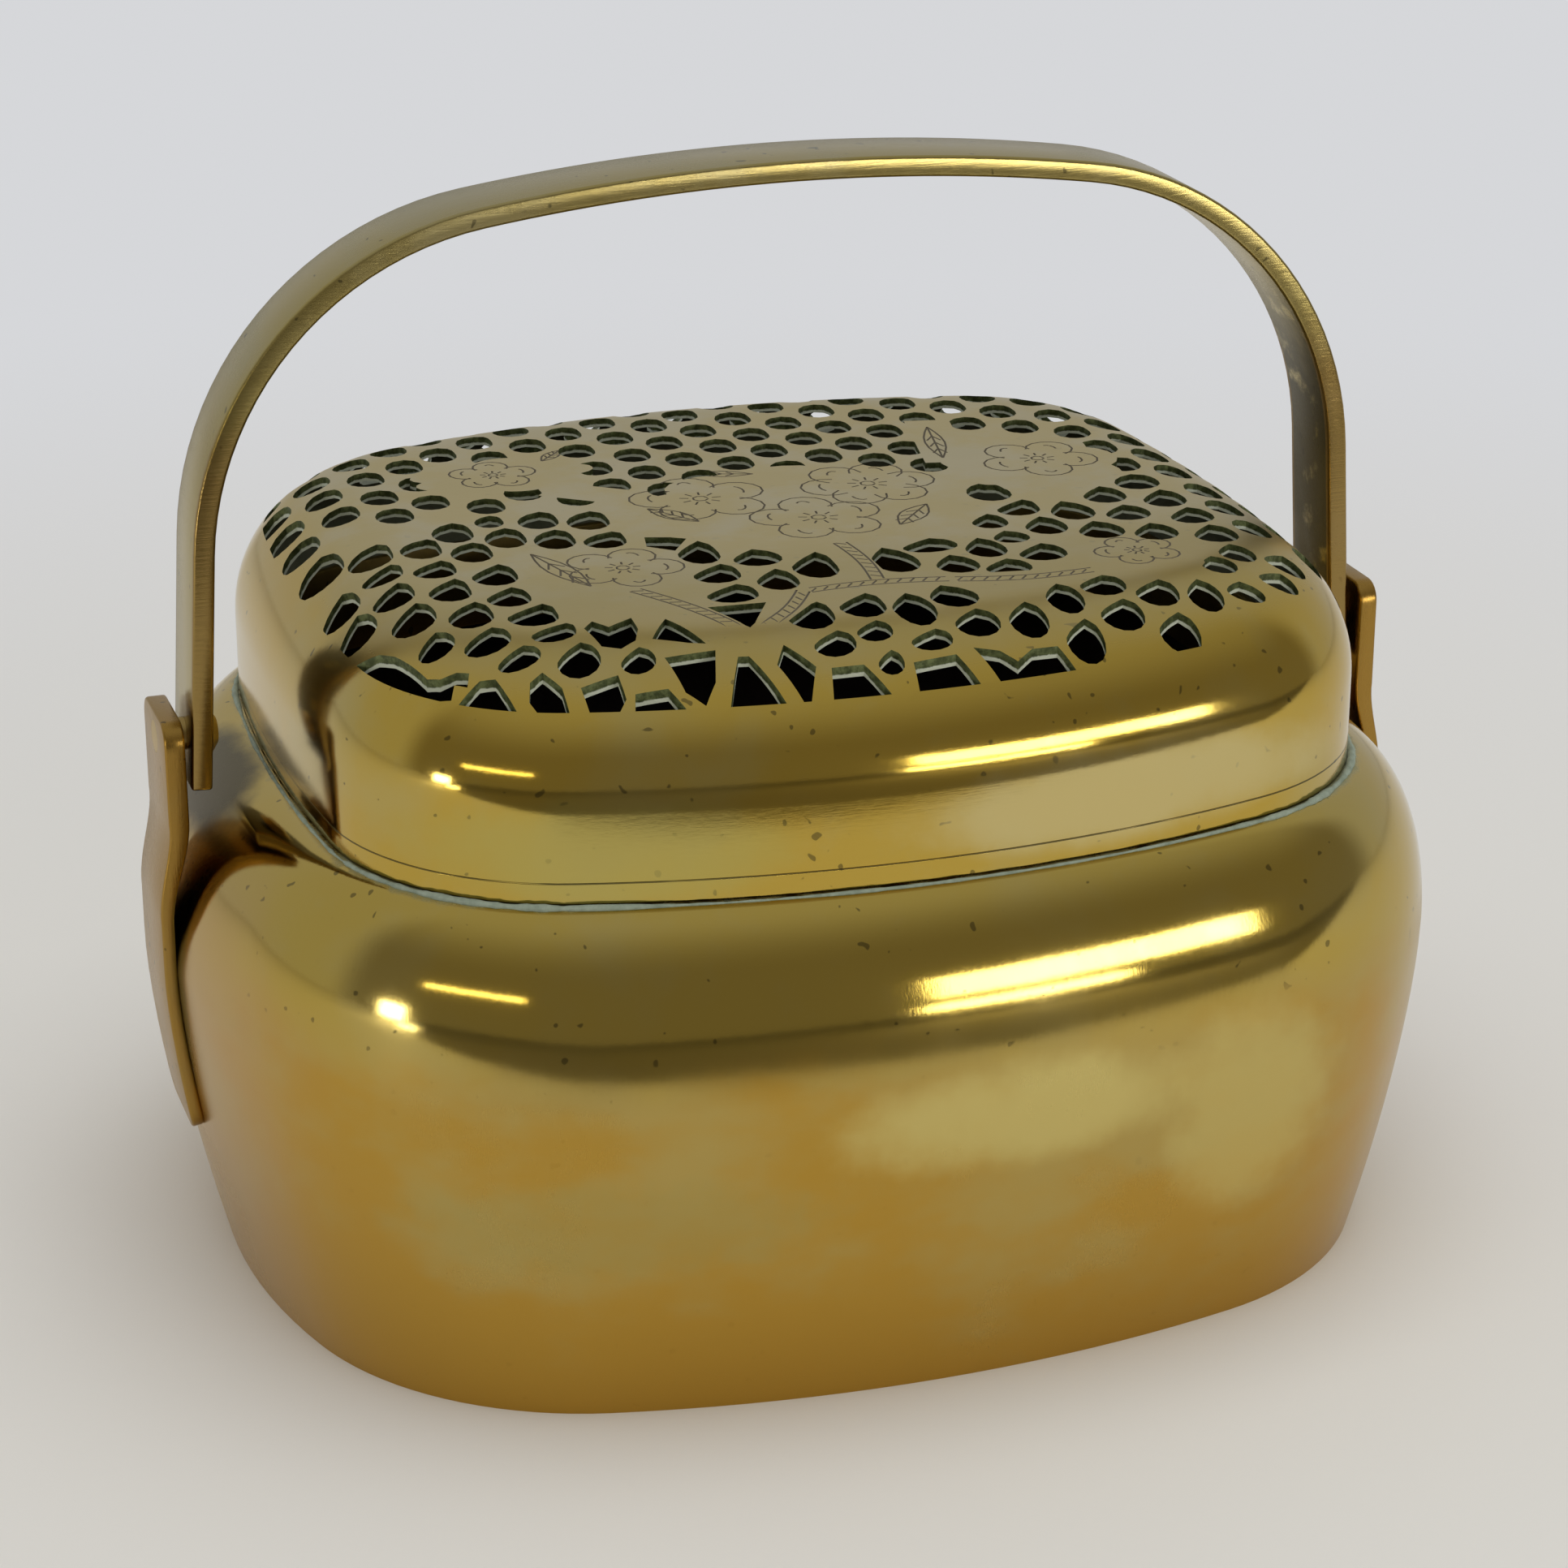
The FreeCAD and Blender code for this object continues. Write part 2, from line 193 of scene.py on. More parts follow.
class Finish:
    """A material under construction, or a world if one is given."""

    def __init__(self, name, world=None):
        self.material = world or bpy.data.materials.new(name)
        self.material.use_nodes = True
        self.tree = self.material.node_tree
        self.tree.nodes.clear()
        self.place = self.node("TexCoord", out="Object")

    def node(self, kind, sockets=None, out=0, stops=None, **settings):
        """Adds a node: its settings first, then the values or links of its sockets."""
        made = self.tree.nodes.new("ShaderNode" + kind)
        for name, value in settings.items():
            setattr(made, name, value)
        if stops:
            while len(made.color_ramp.elements) < len(stops):
                made.color_ramp.elements.new(1.0)
            for element, (position, colour) in zip(made.color_ramp.elements, stops):
                element.position = position
                element.color = (*colour, 1.0)
        for name, value in (sockets or {}).items():
            if isinstance(value, Value):
                self.tree.links.new(value.socket, made.inputs[name])
            else:
                made.inputs[name].default_value = value
        return Value(self, made.outputs[out]) if len(made.outputs) else None

    def stretched(self, x, y, z, turn=0.0):
        """Object coordinates in millimetres, scaled along each axis."""
        return self.node("Mapping", {"Vector": self.place, "Scale": (x / MM, y / MM, z / MM), "Rotation": (0, 0, turn)})

    def noise(self, grain, where=None, detail=3.0, rough=0.55, warp=0.0):
        """Soft noise whose features are about grain millimetres across."""
        where = where or self.stretched(1, 1, 1)
        return self.node("TexNoise", {
            "Vector": where, "Scale": 1.0 / grain, "Detail": detail, "Roughness": rough, "Distortion": warp})

    def above(self, value, start, finish):
        """0 where the value is under start, 1 where it is over finish, smooth between."""
        return self.node("MapRange", {0: value, 1: start, 2: finish, 3: 0.0, 4: 1.0}, interpolation_type="SMOOTHSTEP")

    def mix(self, share, first, second):
        """Mixes two colours."""
        picks = {"Factor": share, 6: first, 7: second}
        picks = {name: (*pick, 1.0) if isinstance(pick, tuple) else pick for name, pick in picks.items()}
        return self.node("Mix", picks, out=2, data_type="RGBA")

    def axis(self, letter):
        """Distance along one axis in millimetres."""
        return self.node("SeparateXYZ", {0: self.stretched(1, 1, 1)}, out=letter)

    def patch(self, x, z, wide, tall, ragged=0.5, grain=9.0):
        """1 inside an oval on the front, 0 outside, with a ragged edge."""
        across = (self.axis("X") - x) / wide
        up = (self.axis("Z") - z) / tall
        reach = across * across + up * up + self.noise(grain, detail=4.0, rough=0.6) * ragged * 2.0
        front = 1.0 - self.above(self.axis("Y"), -40.0, 0.0)
        return (1.0 - self.above(reach, 0.5 + ragged * 0.5, 1.3 + ragged)) * front

    def spot(self, middle, size, ragged=0.8, grain=6.0):
        """1 inside an egg-shaped volume, 0 outside, with a ragged edge."""
        parts = [(self.axis(letter) - centre) / reach for letter, centre, reach in zip("XYZ", middle, size)]
        reach = sum(part * part for part in parts) + self.noise(grain, detail=4.0, rough=0.6) * ragged
        return 1.0 - self.above(reach, 0.3 + ragged * 0.5, 1.0 + ragged * 0.6)

    def metal(self, colour, roughness, bump=None, relief=0.05, metallic=1.0):
        """Finishes the material as bare metal and hands it over."""
        sockets = {"Base Color": colour, "Roughness": roughness, "Metallic": metallic}
        if bump is not None:
            sockets["Normal"] = self.node("Bump", {"Height": bump, "Strength": 1.0, "Distance": relief * MM}, out="Normal")
        shader = self.node("BsdfPrincipled", sockets, out="BSDF")
        self.node("OutputMaterial", {"Surface": shader})
        return self.material

# %% [markdown]
# ## The room
# Brass shows what it mirrors, so the room matters more than the lamps. Behind the object
# and above it the room is pale. In front of it, where the photographer stands, it is dim,
# which gives the shoulder its dark band. A window on the right and a small lamp on the
# left make the bright streaks. A large soft lamp overhead lights the paper.

# %% Room
room = Finish("room", bpy.data.worlds.new("room"))
bpy.context.scene.world = room.material
BACKGROUND = (0.672, 0.68, 0.70)
direction = room.node("TexCoord", out="Generated")
forward = room.node("SeparateXYZ", {0: direction}, out="Y")
upward = room.node("SeparateXYZ", {0: direction}, out="Z")
dim = (1.0 - room.above(forward, -0.10, 0.16)) * (1.0 - room.above(upward, 0.36, 1.0))
seen = room.mix(dim, (0.50, 0.51, 0.52), (0.235, 0.22, 0.18))
straight = room.node("LightPath", out="Is Camera Ray")
sky = room.node("Background", {"Color": room.mix(straight, seen, BACKGROUND), "Strength": 1.0})
room.node("OutputWorld", {"Surface": sky})

# %% Lamps


def lamp(name, azimuth, elevation, distance, size, power, colour=(1.0, 1.0, 1.0), mirrored=True):
    """A soft rectangular lamp aimed at the object; one that is not mirrored leaves no streak."""
    data = bpy.data.lights.new(name, "AREA")
    data.shape = "RECTANGLE"
    data.size, data.size_y = size
    data.energy = power
    data.color = colour
    obj = bpy.data.objects.new(name, data)
    bpy.context.collection.objects.link(obj)
    aim(obj, azimuth, elevation, distance, TARGET)
    obj.visible_glossy = mirrored
    return obj


lamp("lamp_overhead", 20, 80, 1.5, (1.8, 1.4), 9.8, mirrored=False)
lamp("lamp_window", 31, 6, 0.9, (0.50, 0.10), 1.30, (1.0, 0.99, 0.95))
lamp("lamp_window_low", 24, 0, 0.9, (0.30, 0.03), 0.28, (1.0, 0.99, 0.95))
lamp("lamp_left", -72, 0, 0.8, (0.10, 0.06), 0.34, (1.0, 0.98, 0.93))
lamp("lamp_left_low", -67, -5, 0.8, (0.075, 0.05), 0.22, (1.0, 0.99, 0.95))
lamp("lamp_strip", -49, 12, 0.8, (0.42, 0.022), 0.17, (1.0, 0.90, 0.60))

# %% [markdown]
# ## Finishes
# Old brass that is still handled is never one colour. Clouds of paler oxide lie on a deep
# gold ground, the ends have a faint pink bloom, and fine rubbing lines run along the
# metal. Green verdigris sits where damp stays: in the joint under the cover, behind the
# lugs and on the sawn edges of the piercing.

# %% Old brass
BRASS = (0.51, 0.365, 0.08)
AMBER = (0.51, 0.30, 0.048)
VEIL = (0.49, 0.385, 0.135)
CLOUD = (0.66, 0.54, 0.19)
ROSE = (0.49, 0.305, 0.11)
VERDIGRIS = (0.14, 0.19, 0.13)
CHALK = (0.44, 0.50, 0.42)
DIRT = (0.045, 0.040, 0.022)


def patina(finish, ground=BRASS, veil=VEIL):
    """Ground colour with thin veils, fine mottles and a few dark specks."""
    veils = finish.above(finish.noise(30.0, detail=4.0, warp=0.4), 0.48, 0.68)
    mottle = finish.noise(6.0, detail=5.0, rough=0.62)
    colour = finish.mix(veils * 0.6, ground, veil)
    colour = finish.mix(finish.above(mottle, 0.52, 0.82) * 0.3, colour, veil)
    specks = finish.above(finish.noise(1.3, detail=0.0), 0.80, 0.83)
    return finish.mix(specks * 0.6, colour, DIRT), veils, mottle


def rubbing(finish, along=(0.05, 1.0, 1.0), grain=0.35):
    """Fine rubbing lines that run along one axis."""
    return finish.noise(grain, where=finish.stretched(*along), detail=4.0, rough=0.7)


def brass(name, ground=BRASS, veil=VEIL, along=(0.05, 1.0, 1.0), rough=0.2):
    """Plain worn brass for a small piece."""
    finish = Finish(name)
    colour, veils, mottle = patina(finish, ground, veil)
    lines = rubbing(finish, along)
    return finish.metal(colour, rough + veils * 0.08 + lines * 0.12, lines + mottle * 0.5, 0.02)


def wall_brass():
    """The vessel: amber lower wall with a pale cloud, rosy ends, verdigris by the cover."""
    finish = Finish("vessel_old_brass")
    colour, veils, mottle = patina(finish)
    height = finish.axis("Z")
    broad = finish.noise(16.0, where=finish.stretched(0.6, 0.6, 1.0), detail=4.0, rough=0.55)
    lower = 1.0 - finish.above(height + broad * 9.0, 46.0, 55.0)
    tone = finish.mix(finish.above(broad + height * 0.006, 0.54, 0.84) * 0.7, AMBER, VEIL)
    colour = finish.mix(lower * 0.9, colour, tone)
    colour = finish.mix(finish.patch(8.0, 37.0, 24.0, 7.0, ragged=0.7, grain=12.0) * 0.9, colour, CLOUD)
    colour = finish.mix(finish.patch(-40.0, 27.0, 24.0, 7.0, ragged=0.9, grain=5.0) * 0.45, colour, (0.42, 0.35, 0.12))
    colour = finish.mix(finish.patch(38.0, 31.0, 13.0, 14.0, ragged=0.7) * 0.6, colour, CLOUD)
    ends = finish.above(finish.axis("X").size() + finish.noise(20.0) * 12.0, 74.0, 86.0)
    colour = finish.mix(ends * 0.65, colour, ROSE)
    lines = rubbing(finish, (1.0, 1.0, 0.06))
    damp = finish.noise(3.0, detail=4.0, rough=0.65)
    corner = finish.above(finish.axis("X").size() + finish.axis("Y").size(), 88.0, 106.0)
    joint = finish.above(height + damp * 0.9 + corner * 0.35, 64.15, 64.6)
    colour = finish.mix(joint * 0.7, colour, VERDIGRIS)
    chalk = finish.above(height + finish.noise(1.1, detail=3.0) * 0.8 + corner * 0.12, 64.38, 64.6)
    colour = finish.mix(chalk * 0.85, colour, CHALK)
    # Darkens a patch of the shoulder behind the left lug, under the handle's foot, and makes it rougher.
    dark_patch_by_lug = finish.spot((-71.5, 8.0, 61.0), (7.0, 17.0, 8.0))
    colour = finish.mix(dark_patch_by_lug * 0.85, colour, DIRT)
    behind = finish.spot((-80.0, -6.0, 45.0), (3.4, 5.0, 28.0))
    colour = finish.mix(behind * 0.7, colour, VERDIGRIS)
    rough = 0.06 + lower * 0.17 + veils * 0.03 + lines * 0.04 + joint * 0.4 + dark_patch_by_lug * 0.2
    return finish.metal(colour, rough.clamped(), lines * 0.5 + mottle, 0.008, metallic=1.0 - joint * 0.8)


def cover_brass():
    """The cover: bright side, scribed line near the foot, dull film on the top."""
    finish = Finish("cover_old_brass")
    colour, veils, mottle = patina(finish, ground=(0.54, 0.37, 0.068), veil=(0.51, 0.41, 0.15))
    height = finish.axis("Z")
    colour = finish.mix(finish.patch(-38.0, 70.0, 20.0, 7.0) * 0.7, colour, (0.50, 0.42, 0.12))
    colour = finish.mix(finish.patch(24.0, 71.0, 30.0, 6.0) * 0.7, colour, (0.66, 0.56, 0.27))
    top = finish.above(height, 86.0, 91.0) * (finish.above(finish.axis("Y"), -42.0, -8.0) * 0.5 + 0.5)
    film = finish.noise(11.0, detail=4.0, rough=0.6)
    colour = finish.mix(top * 0.85, colour, finish.mix(finish.above(film, 0.40, 0.66), (0.55, 0.45, 0.205), (0.56, 0.49, 0.30)))
    front = top * (1.0 - finish.above(finish.axis("Y") + film * 8.0, -28.0, -8.0))
    colour = finish.mix(front * 0.7, colour, (0.44, 0.36, 0.13))
    worn = finish.above(finish.noise(14.0, detail=2.0), 0.34, 0.46)
    line = (1.0 - finish.above((height - 66.6).size(), 0.05, 0.12)) * (worn * 0.7 + 0.3)
    colour = finish.mix(line * 0.8, colour, DIRT)
    lines = rubbing(finish, (0.06, 1.0, 1.0))
    rough = 0.065 + veils * 0.03 + lines * 0.05 + finish.above(height, 84.0, 89.5) * 0.27
    return finish.metal(colour, rough.clamped(), lines * 0.4 + mottle - line * 8.0, 0.008)


def sawn_brass():
    """Walls of the sawn openings: olive above, a chalky line along the lower edge."""
    finish = Finish("sawn_verdigris")
    depth = finish.node("Attribute", out="Fac", attribute_name="depth")
    ragged = finish.noise(1.0, detail=3.0, rough=0.7)
    chalk = finish.above(depth + ragged * 0.30, 0.76, 0.90)
    colour = finish.mix(finish.above(ragged, 0.35, 0.7), (0.060, 0.075, 0.022), (0.17, 0.20, 0.075))
    colour = finish.mix(chalk, colour, (0.72, 0.76, 0.62))
    return finish.metal(colour, 0.5, ragged, 0.1, metallic=0.5 - chalk * 0.5)


def bar_brass():
    """The handle: rubbed bright outside, dark where no hand reaches on the inside of the legs."""
    finish = Finish("bar_brass")
    colour, veils, mottle = patina(finish, (0.40, 0.315, 0.11), (0.39, 0.34, 0.19))
    inside = finish.node("Attribute", out="Fac", attribute_name="inside")
    low = 1.0 - finish.above(finish.axis("Z") + mottle * 14.0, 108.0, 128.0)
    unrubbed = inside * low * finish.above(mottle, 0.28, 0.46)
    colour = finish.mix(unrubbed * 0.9, colour, finish.mix(mottle, (0.055, 0.055, 0.042), (0.10, 0.085, 0.05)))
    edge = finish.above(finish.axis("Y").size(), 4.7, 4.9) * (1.0 - finish.above(finish.axis("Z") + mottle * 10.0, 108.0, 118.0))
    colour = finish.mix(edge * 0.8, colour, (0.30, 0.19, 0.06))
    lines = rubbing(finish, (0.05, 1.0, 1.0))
    return finish.metal(colour, 0.17 + veils * 0.08 + lines * 0.12 + unrubbed * 0.15, lines + mottle * 0.5, 0.02)


def dull(name, colour, other, grain):
    """A surface without shine, such as soot or the bottom of an engraved line."""
    finish = Finish(name)
    mottle = finish.noise(grain, detail=4.0, rough=0.6)
    return finish.metal(finish.mix(mottle, colour, other), 0.85, mottle, 0.05, metallic=0.0)


WALL = wall_brass()
TOP = cover_brass()
SAWN = sawn_brass()
SOOT = dull("soot", (0.012, 0.009, 0.009), (0.04, 0.028, 0.028), 4.0)
CRUST = dull("verdigris", (0.13, 0.17, 0.12), (0.46, 0.53, 0.44), 1.2)
TARNISH = dull("cover_inside", (0.15, 0.16, 0.10), (0.30, 0.31, 0.22), 3.0)
CUT = dull("engraved_line", (0.10, 0.085, 0.055), (0.19, 0.16, 0.11), 1.5)
BAR = bar_brass()
STRAP = brass("strap_brass", ground=(0.36, 0.21, 0.045), veil=(0.35, 0.24, 0.08), along=(1.0, 1.0, 0.05), rough=0.22)
RIVET = brass("rivet_brass", ground=(0.54, 0.38, 0.14), rough=0.3)
PLATE = brass("plate_brass", ground=(0.30, 0.20, 0.07), veil=(0.28, 0.23, 0.13), rough=0.42)
SLEEVE = brass("sleeve_brass", ground=(0.40, 0.28, 0.09), along=(1.0, 1.0, 0.06), rough=0.3)
print("finishes:", len(bpy.data.materials))

# %% [markdown]
# ## Modelling helpers
# A raised vessel is a stack of rings. A circle primitive with one corner per outline
# point gives the first ring. Extruding its edges gives the next one, and each new ring is
# laid on the outline that belongs to its height. Angles round the middle pair every corner
# with its place, because both run round the same way.


# %% Rings
def nothing_selected():
    if bpy.context.object and bpy.context.object.mode != "OBJECT":
        bpy.ops.object.mode_set(mode="OBJECT")
    bpy.ops.object.select_all(action="DESELECT")


def round_order(place):
    return (math.atan2(place[1], place[0]) + 1e-4) % (2 * math.pi)


def lay(piece, goal):
    """Moves the selected corners to the points of a ring."""
    mesh = bmesh.from_edit_mesh(piece.data)
    corners = sorted((corner for corner in mesh.verts if corner.select), key=lambda corner: round_order(corner.co))
    for corner, place in zip(corners, sorted(goal, key=round_order)):
        corner.co = place
    bmesh.update_edit_mesh(piece.data)


def stack(name, rings, closed=False):
    """A shell through rings from the bottom up, and a lid on the last one if it is closed."""
    nothing_selected()
    bpy.ops.mesh.primitive_circle_add(vertices=RING_POINTS, radius=60 * MM)
    piece = bpy.context.object
    piece.name = piece.data.name = name
    bpy.ops.object.mode_set(mode="EDIT")
    bpy.ops.mesh.select_all(action="SELECT")
    lay(piece, rings[0])
    for goal in rings[1:]:
        bpy.ops.mesh.extrude_region_move()
        lay(piece, goal)
    if closed:
        bpy.ops.mesh.edge_face_add()
    bpy.ops.mesh.select_all(action="SELECT")
    bpy.ops.mesh.normals_make_consistent(inside=False)
    bpy.ops.object.mode_set(mode="OBJECT")
    return piece


def apply(piece, kind, **settings):
    """Adds one modifier and applies it."""
    modifier = piece.modifiers.new(kind.lower(), kind)
    for name, value in settings.items():
        setattr(modifier, name, value)
    nothing_selected()
    bpy.context.view_layer.objects.active = piece
    piece.select_set(True)
    bpy.ops.object.modifier_apply(modifier=modifier.name)
    return piece


def smooth(piece, degrees=35.0):
    nothing_selected()
    bpy.context.view_layer.objects.active = piece
    piece.select_set(True)
    bpy.ops.object.shade_smooth_by_angle(angle=math.radians(degrees))
    return piece


def outward(piece):
    nothing_selected()
    bpy.context.view_layer.objects.active = piece
    piece.select_set(True)
    bpy.ops.object.mode_set(mode="EDIT")
    bpy.ops.mesh.select_all(action="SELECT")
    bpy.ops.mesh.remove_doubles(threshold=0.001 * MM)
    bpy.ops.mesh.normals_make_consistent(inside=False)
    bpy.ops.object.mode_set(mode="OBJECT")


def lined(piece, outside, inside, thickness):
    """Thickens a shell inward: one finish outside and on the rim, another one inside."""
    piece.data.materials.append(outside)
    piece.data.materials.append(inside)
    return apply(piece, "SOLIDIFY", thickness=thickness * MM, offset=-1.0, use_even_offset=True, material_offset=1)


def dressed(piece, finish, body, slot, *nodes):
    """Gives a piece its finish and its body, and hides the nodes that it stands for. The slot is not used."""
    if finish:
        piece.data.materials.clear()
        piece.data.materials.append(finish)
    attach(piece, body)
    if nodes:
        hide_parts(*nodes)
    print(piece.name, len(piece.data.polygons), "faces")
    return piece


# %% [markdown]
# ## The vessel
# The wall was raised from one sheet with the hammer. It rises from a drawn-in foot to the
# belly, turns over in a full round shoulder and ends in a flat mouth under the cover. A
# quarter of a superellipse gives the shoulder its fullness. Only the outside is drawn:
# Solidify then gives the sheet its thickness, even round the curve.

# %% Vessel wall
BELLY_HEIGHT, SHOULDER_HEIGHT = 41.5, 63.9
FOOT_DRAW_IN, FOOT_CURVE = 7.0, 1.55
FULLNESS = 1.77
MOUTH = grown(COVER, -1.55)


def vessel_rings():
    rings = []
    for step in range(14):
        z = BELLY_HEIGHT * step / 14
        rings.append(ring(grown(BELLY, -FOOT_DRAW_IN * (1 - z / BELLY_HEIGHT) ** FOOT_CURVE), z))
    for step in range(27):
        angle = math.pi / 2 * step / 26
        inward = 1 - max(math.cos(angle), 0.0) ** (2 / FULLNESS)
        upward = math.sin(angle) ** (2 / FULLNESS)
        rings.append(ring(between(BELLY, COVER, inward), BELLY_HEIGHT + (SHOULDER_HEIGHT - BELLY_HEIGHT) * upward))
    rings.append(ring(MOUTH, SHOULDER_HEIGHT))
    return rings


vessel = stack("vessel_wall", vessel_rings())
lined(vessel, WALL, SOOT, 1.6)
smooth(vessel)
dressed(vessel, None, "vessel", "vessel_brass", "vessel")

# %% [markdown]
# ## Verdigris in the joint
# Damp gathers where the cover meets the shoulder, and a crust of pale green salts grows
# there. It is an uneven bead, so it is drawn as a cord along the outline, with a thickness
# that changes from point to point: thicker at the corners, nearly gone along the sides.

# %% Verdigris crust
crust_curve = bpy.data.curves.new("verdigris_crust", "CURVE")
crust_curve.dimensions = "3D"
crust_curve.bevel_depth = 1.0 * MM
crust_curve.bevel_resolution = 2
bead = crust_curve.splines.new("POLY")
path = ring(grown(COVER, 0.5), SHOULDER_HEIGHT - 0.1)
bead.points.add(len(path) * 3 - 1)
bead.use_cyclic_u = True
growth = random.Random(3)
thick = 0.4
for number, point in enumerate(bead.points):
    start, finish = Vector(path[number // 3]), Vector(path[(number // 3 + 1) % len(path)])
    place = start.lerp(finish, number % 3 / 3)
    corner = min(max((abs(place.x) + abs(place.y)) / MM - 88.0, 0.0) / 18.0, 1.0)
    thick = 0.7 * thick + 0.3 * growth.uniform(0.05, 0.42 + 0.7 * corner)
    point.co = (*place, 1.0)
    point.radius = min(thick, 0.62)
crust = bpy.data.objects.new("verdigris_crust", crust_curve)
bpy.context.collection.objects.link(crust)
nothing_selected()
crust.select_set(True)
bpy.context.view_layer.objects.active = crust
bpy.ops.object.convert(target="MESH")
crust = bpy.context.object
outward(crust)
smooth(crust, 60.0)
dressed(crust, CRUST, "vessel", None)

# %% [markdown]
# ## The collar
# A sleeve is soldered into the mouth, and the cover slides down over it. It shows as soon
# as the cover lifts. It is a plain ring of strip, so two rings and a thickness make it.
# A small bevel breaks its edges.

# %% Mouth collar
COLLAR_FOOT, COLLAR_TOP = 60.8, 72.9
collar = stack("collar_sleeve", [ring(MOUTH, COLLAR_FOOT), ring(MOUTH, COLLAR_TOP)])
apply(collar, "SOLIDIFY", thickness=1.2 * MM, offset=-1.0, use_even_offset=True)
apply(collar, "BEVEL", width=0.25 * MM, segments=2, limit_method="ANGLE", angle_limit=math.radians(60))
smooth(collar)
dressed(collar, SLEEVE, "vessel", "collar_brass", "mouth_collar")

# %% [markdown]
# ## The cover
# The cover is a shallow box with a quarter-round shoulder and a nearly flat top. The
# outside is drawn in rings, the last one is closed with a lid, and Solidify adds the
# sheet. Each corner then gets a depth value, 0 outside and 1 inside, so that the finish of
# the sawn walls can tell how far down it is.

# %% Cover shell
COVER_FOOT, CROWN = 64.2, 91.5
ROUNDING, SHEET = 16.8, 1.1


def cover_rings(inset=0.0, steps=22):
    """Rings of the cover's outside, or of a parallel form inside it."""
    spring = CROWN - ROUNDING
    round_size = ROUNDING - inset
    rings = [ring(grown(COVER, -inset), COVER_FOOT), ring(grown(COVER, -inset), 70.0)]
    for step in range(steps + 1):
        angle = math.pi / 2 * step / steps
        drawn_in = inset + round_size * (1 - math.cos(angle))
        rings.append(ring(grown(COVER, -drawn_in), spring + round_size * math.sin(angle)))
    rings.append(ring(grown(COVER, -ROUNDING - 0.6), spring + round_size))
    return rings


def inward(x, y):
    """Distance of a point of the plan from the cover's outline."""
    side, end, centre, low, high = quarter(COVER)
    ax, ay = abs(x), abs(y)
    about = math.atan2(ay - centre.y, ax - centre.x)
    if low < about < high:
        return COVER.corner - math.hypot(ax - centre.x, ay - centre.y)
    if about <= low:
        return COVER.end_bow - math.hypot(ax - end.x, ay)
    return COVER.side_bow - math.hypot(ax, ay - side.y)


cover = stack("cover_pierced", cover_rings(), closed=True)
lined(cover, TOP, TARNISH, SHEET)
print("cover shell:", len(cover.data.polygons), "faces")

# %% [markdown]
# ## Piercing
# The pattern was drawn by hand and cut with a piercing saw. Each opening is a fish scale:
# a round nose towards the front and a leaning point towards the back. Behind the flowers
# the scales stand in even columns, every other one half a step up. In front they crowd
# along the rounded edge, so those are placed one by one, as the saw did. One scale is
# modelled and copied, and each copy is stretched and leaned to its place.

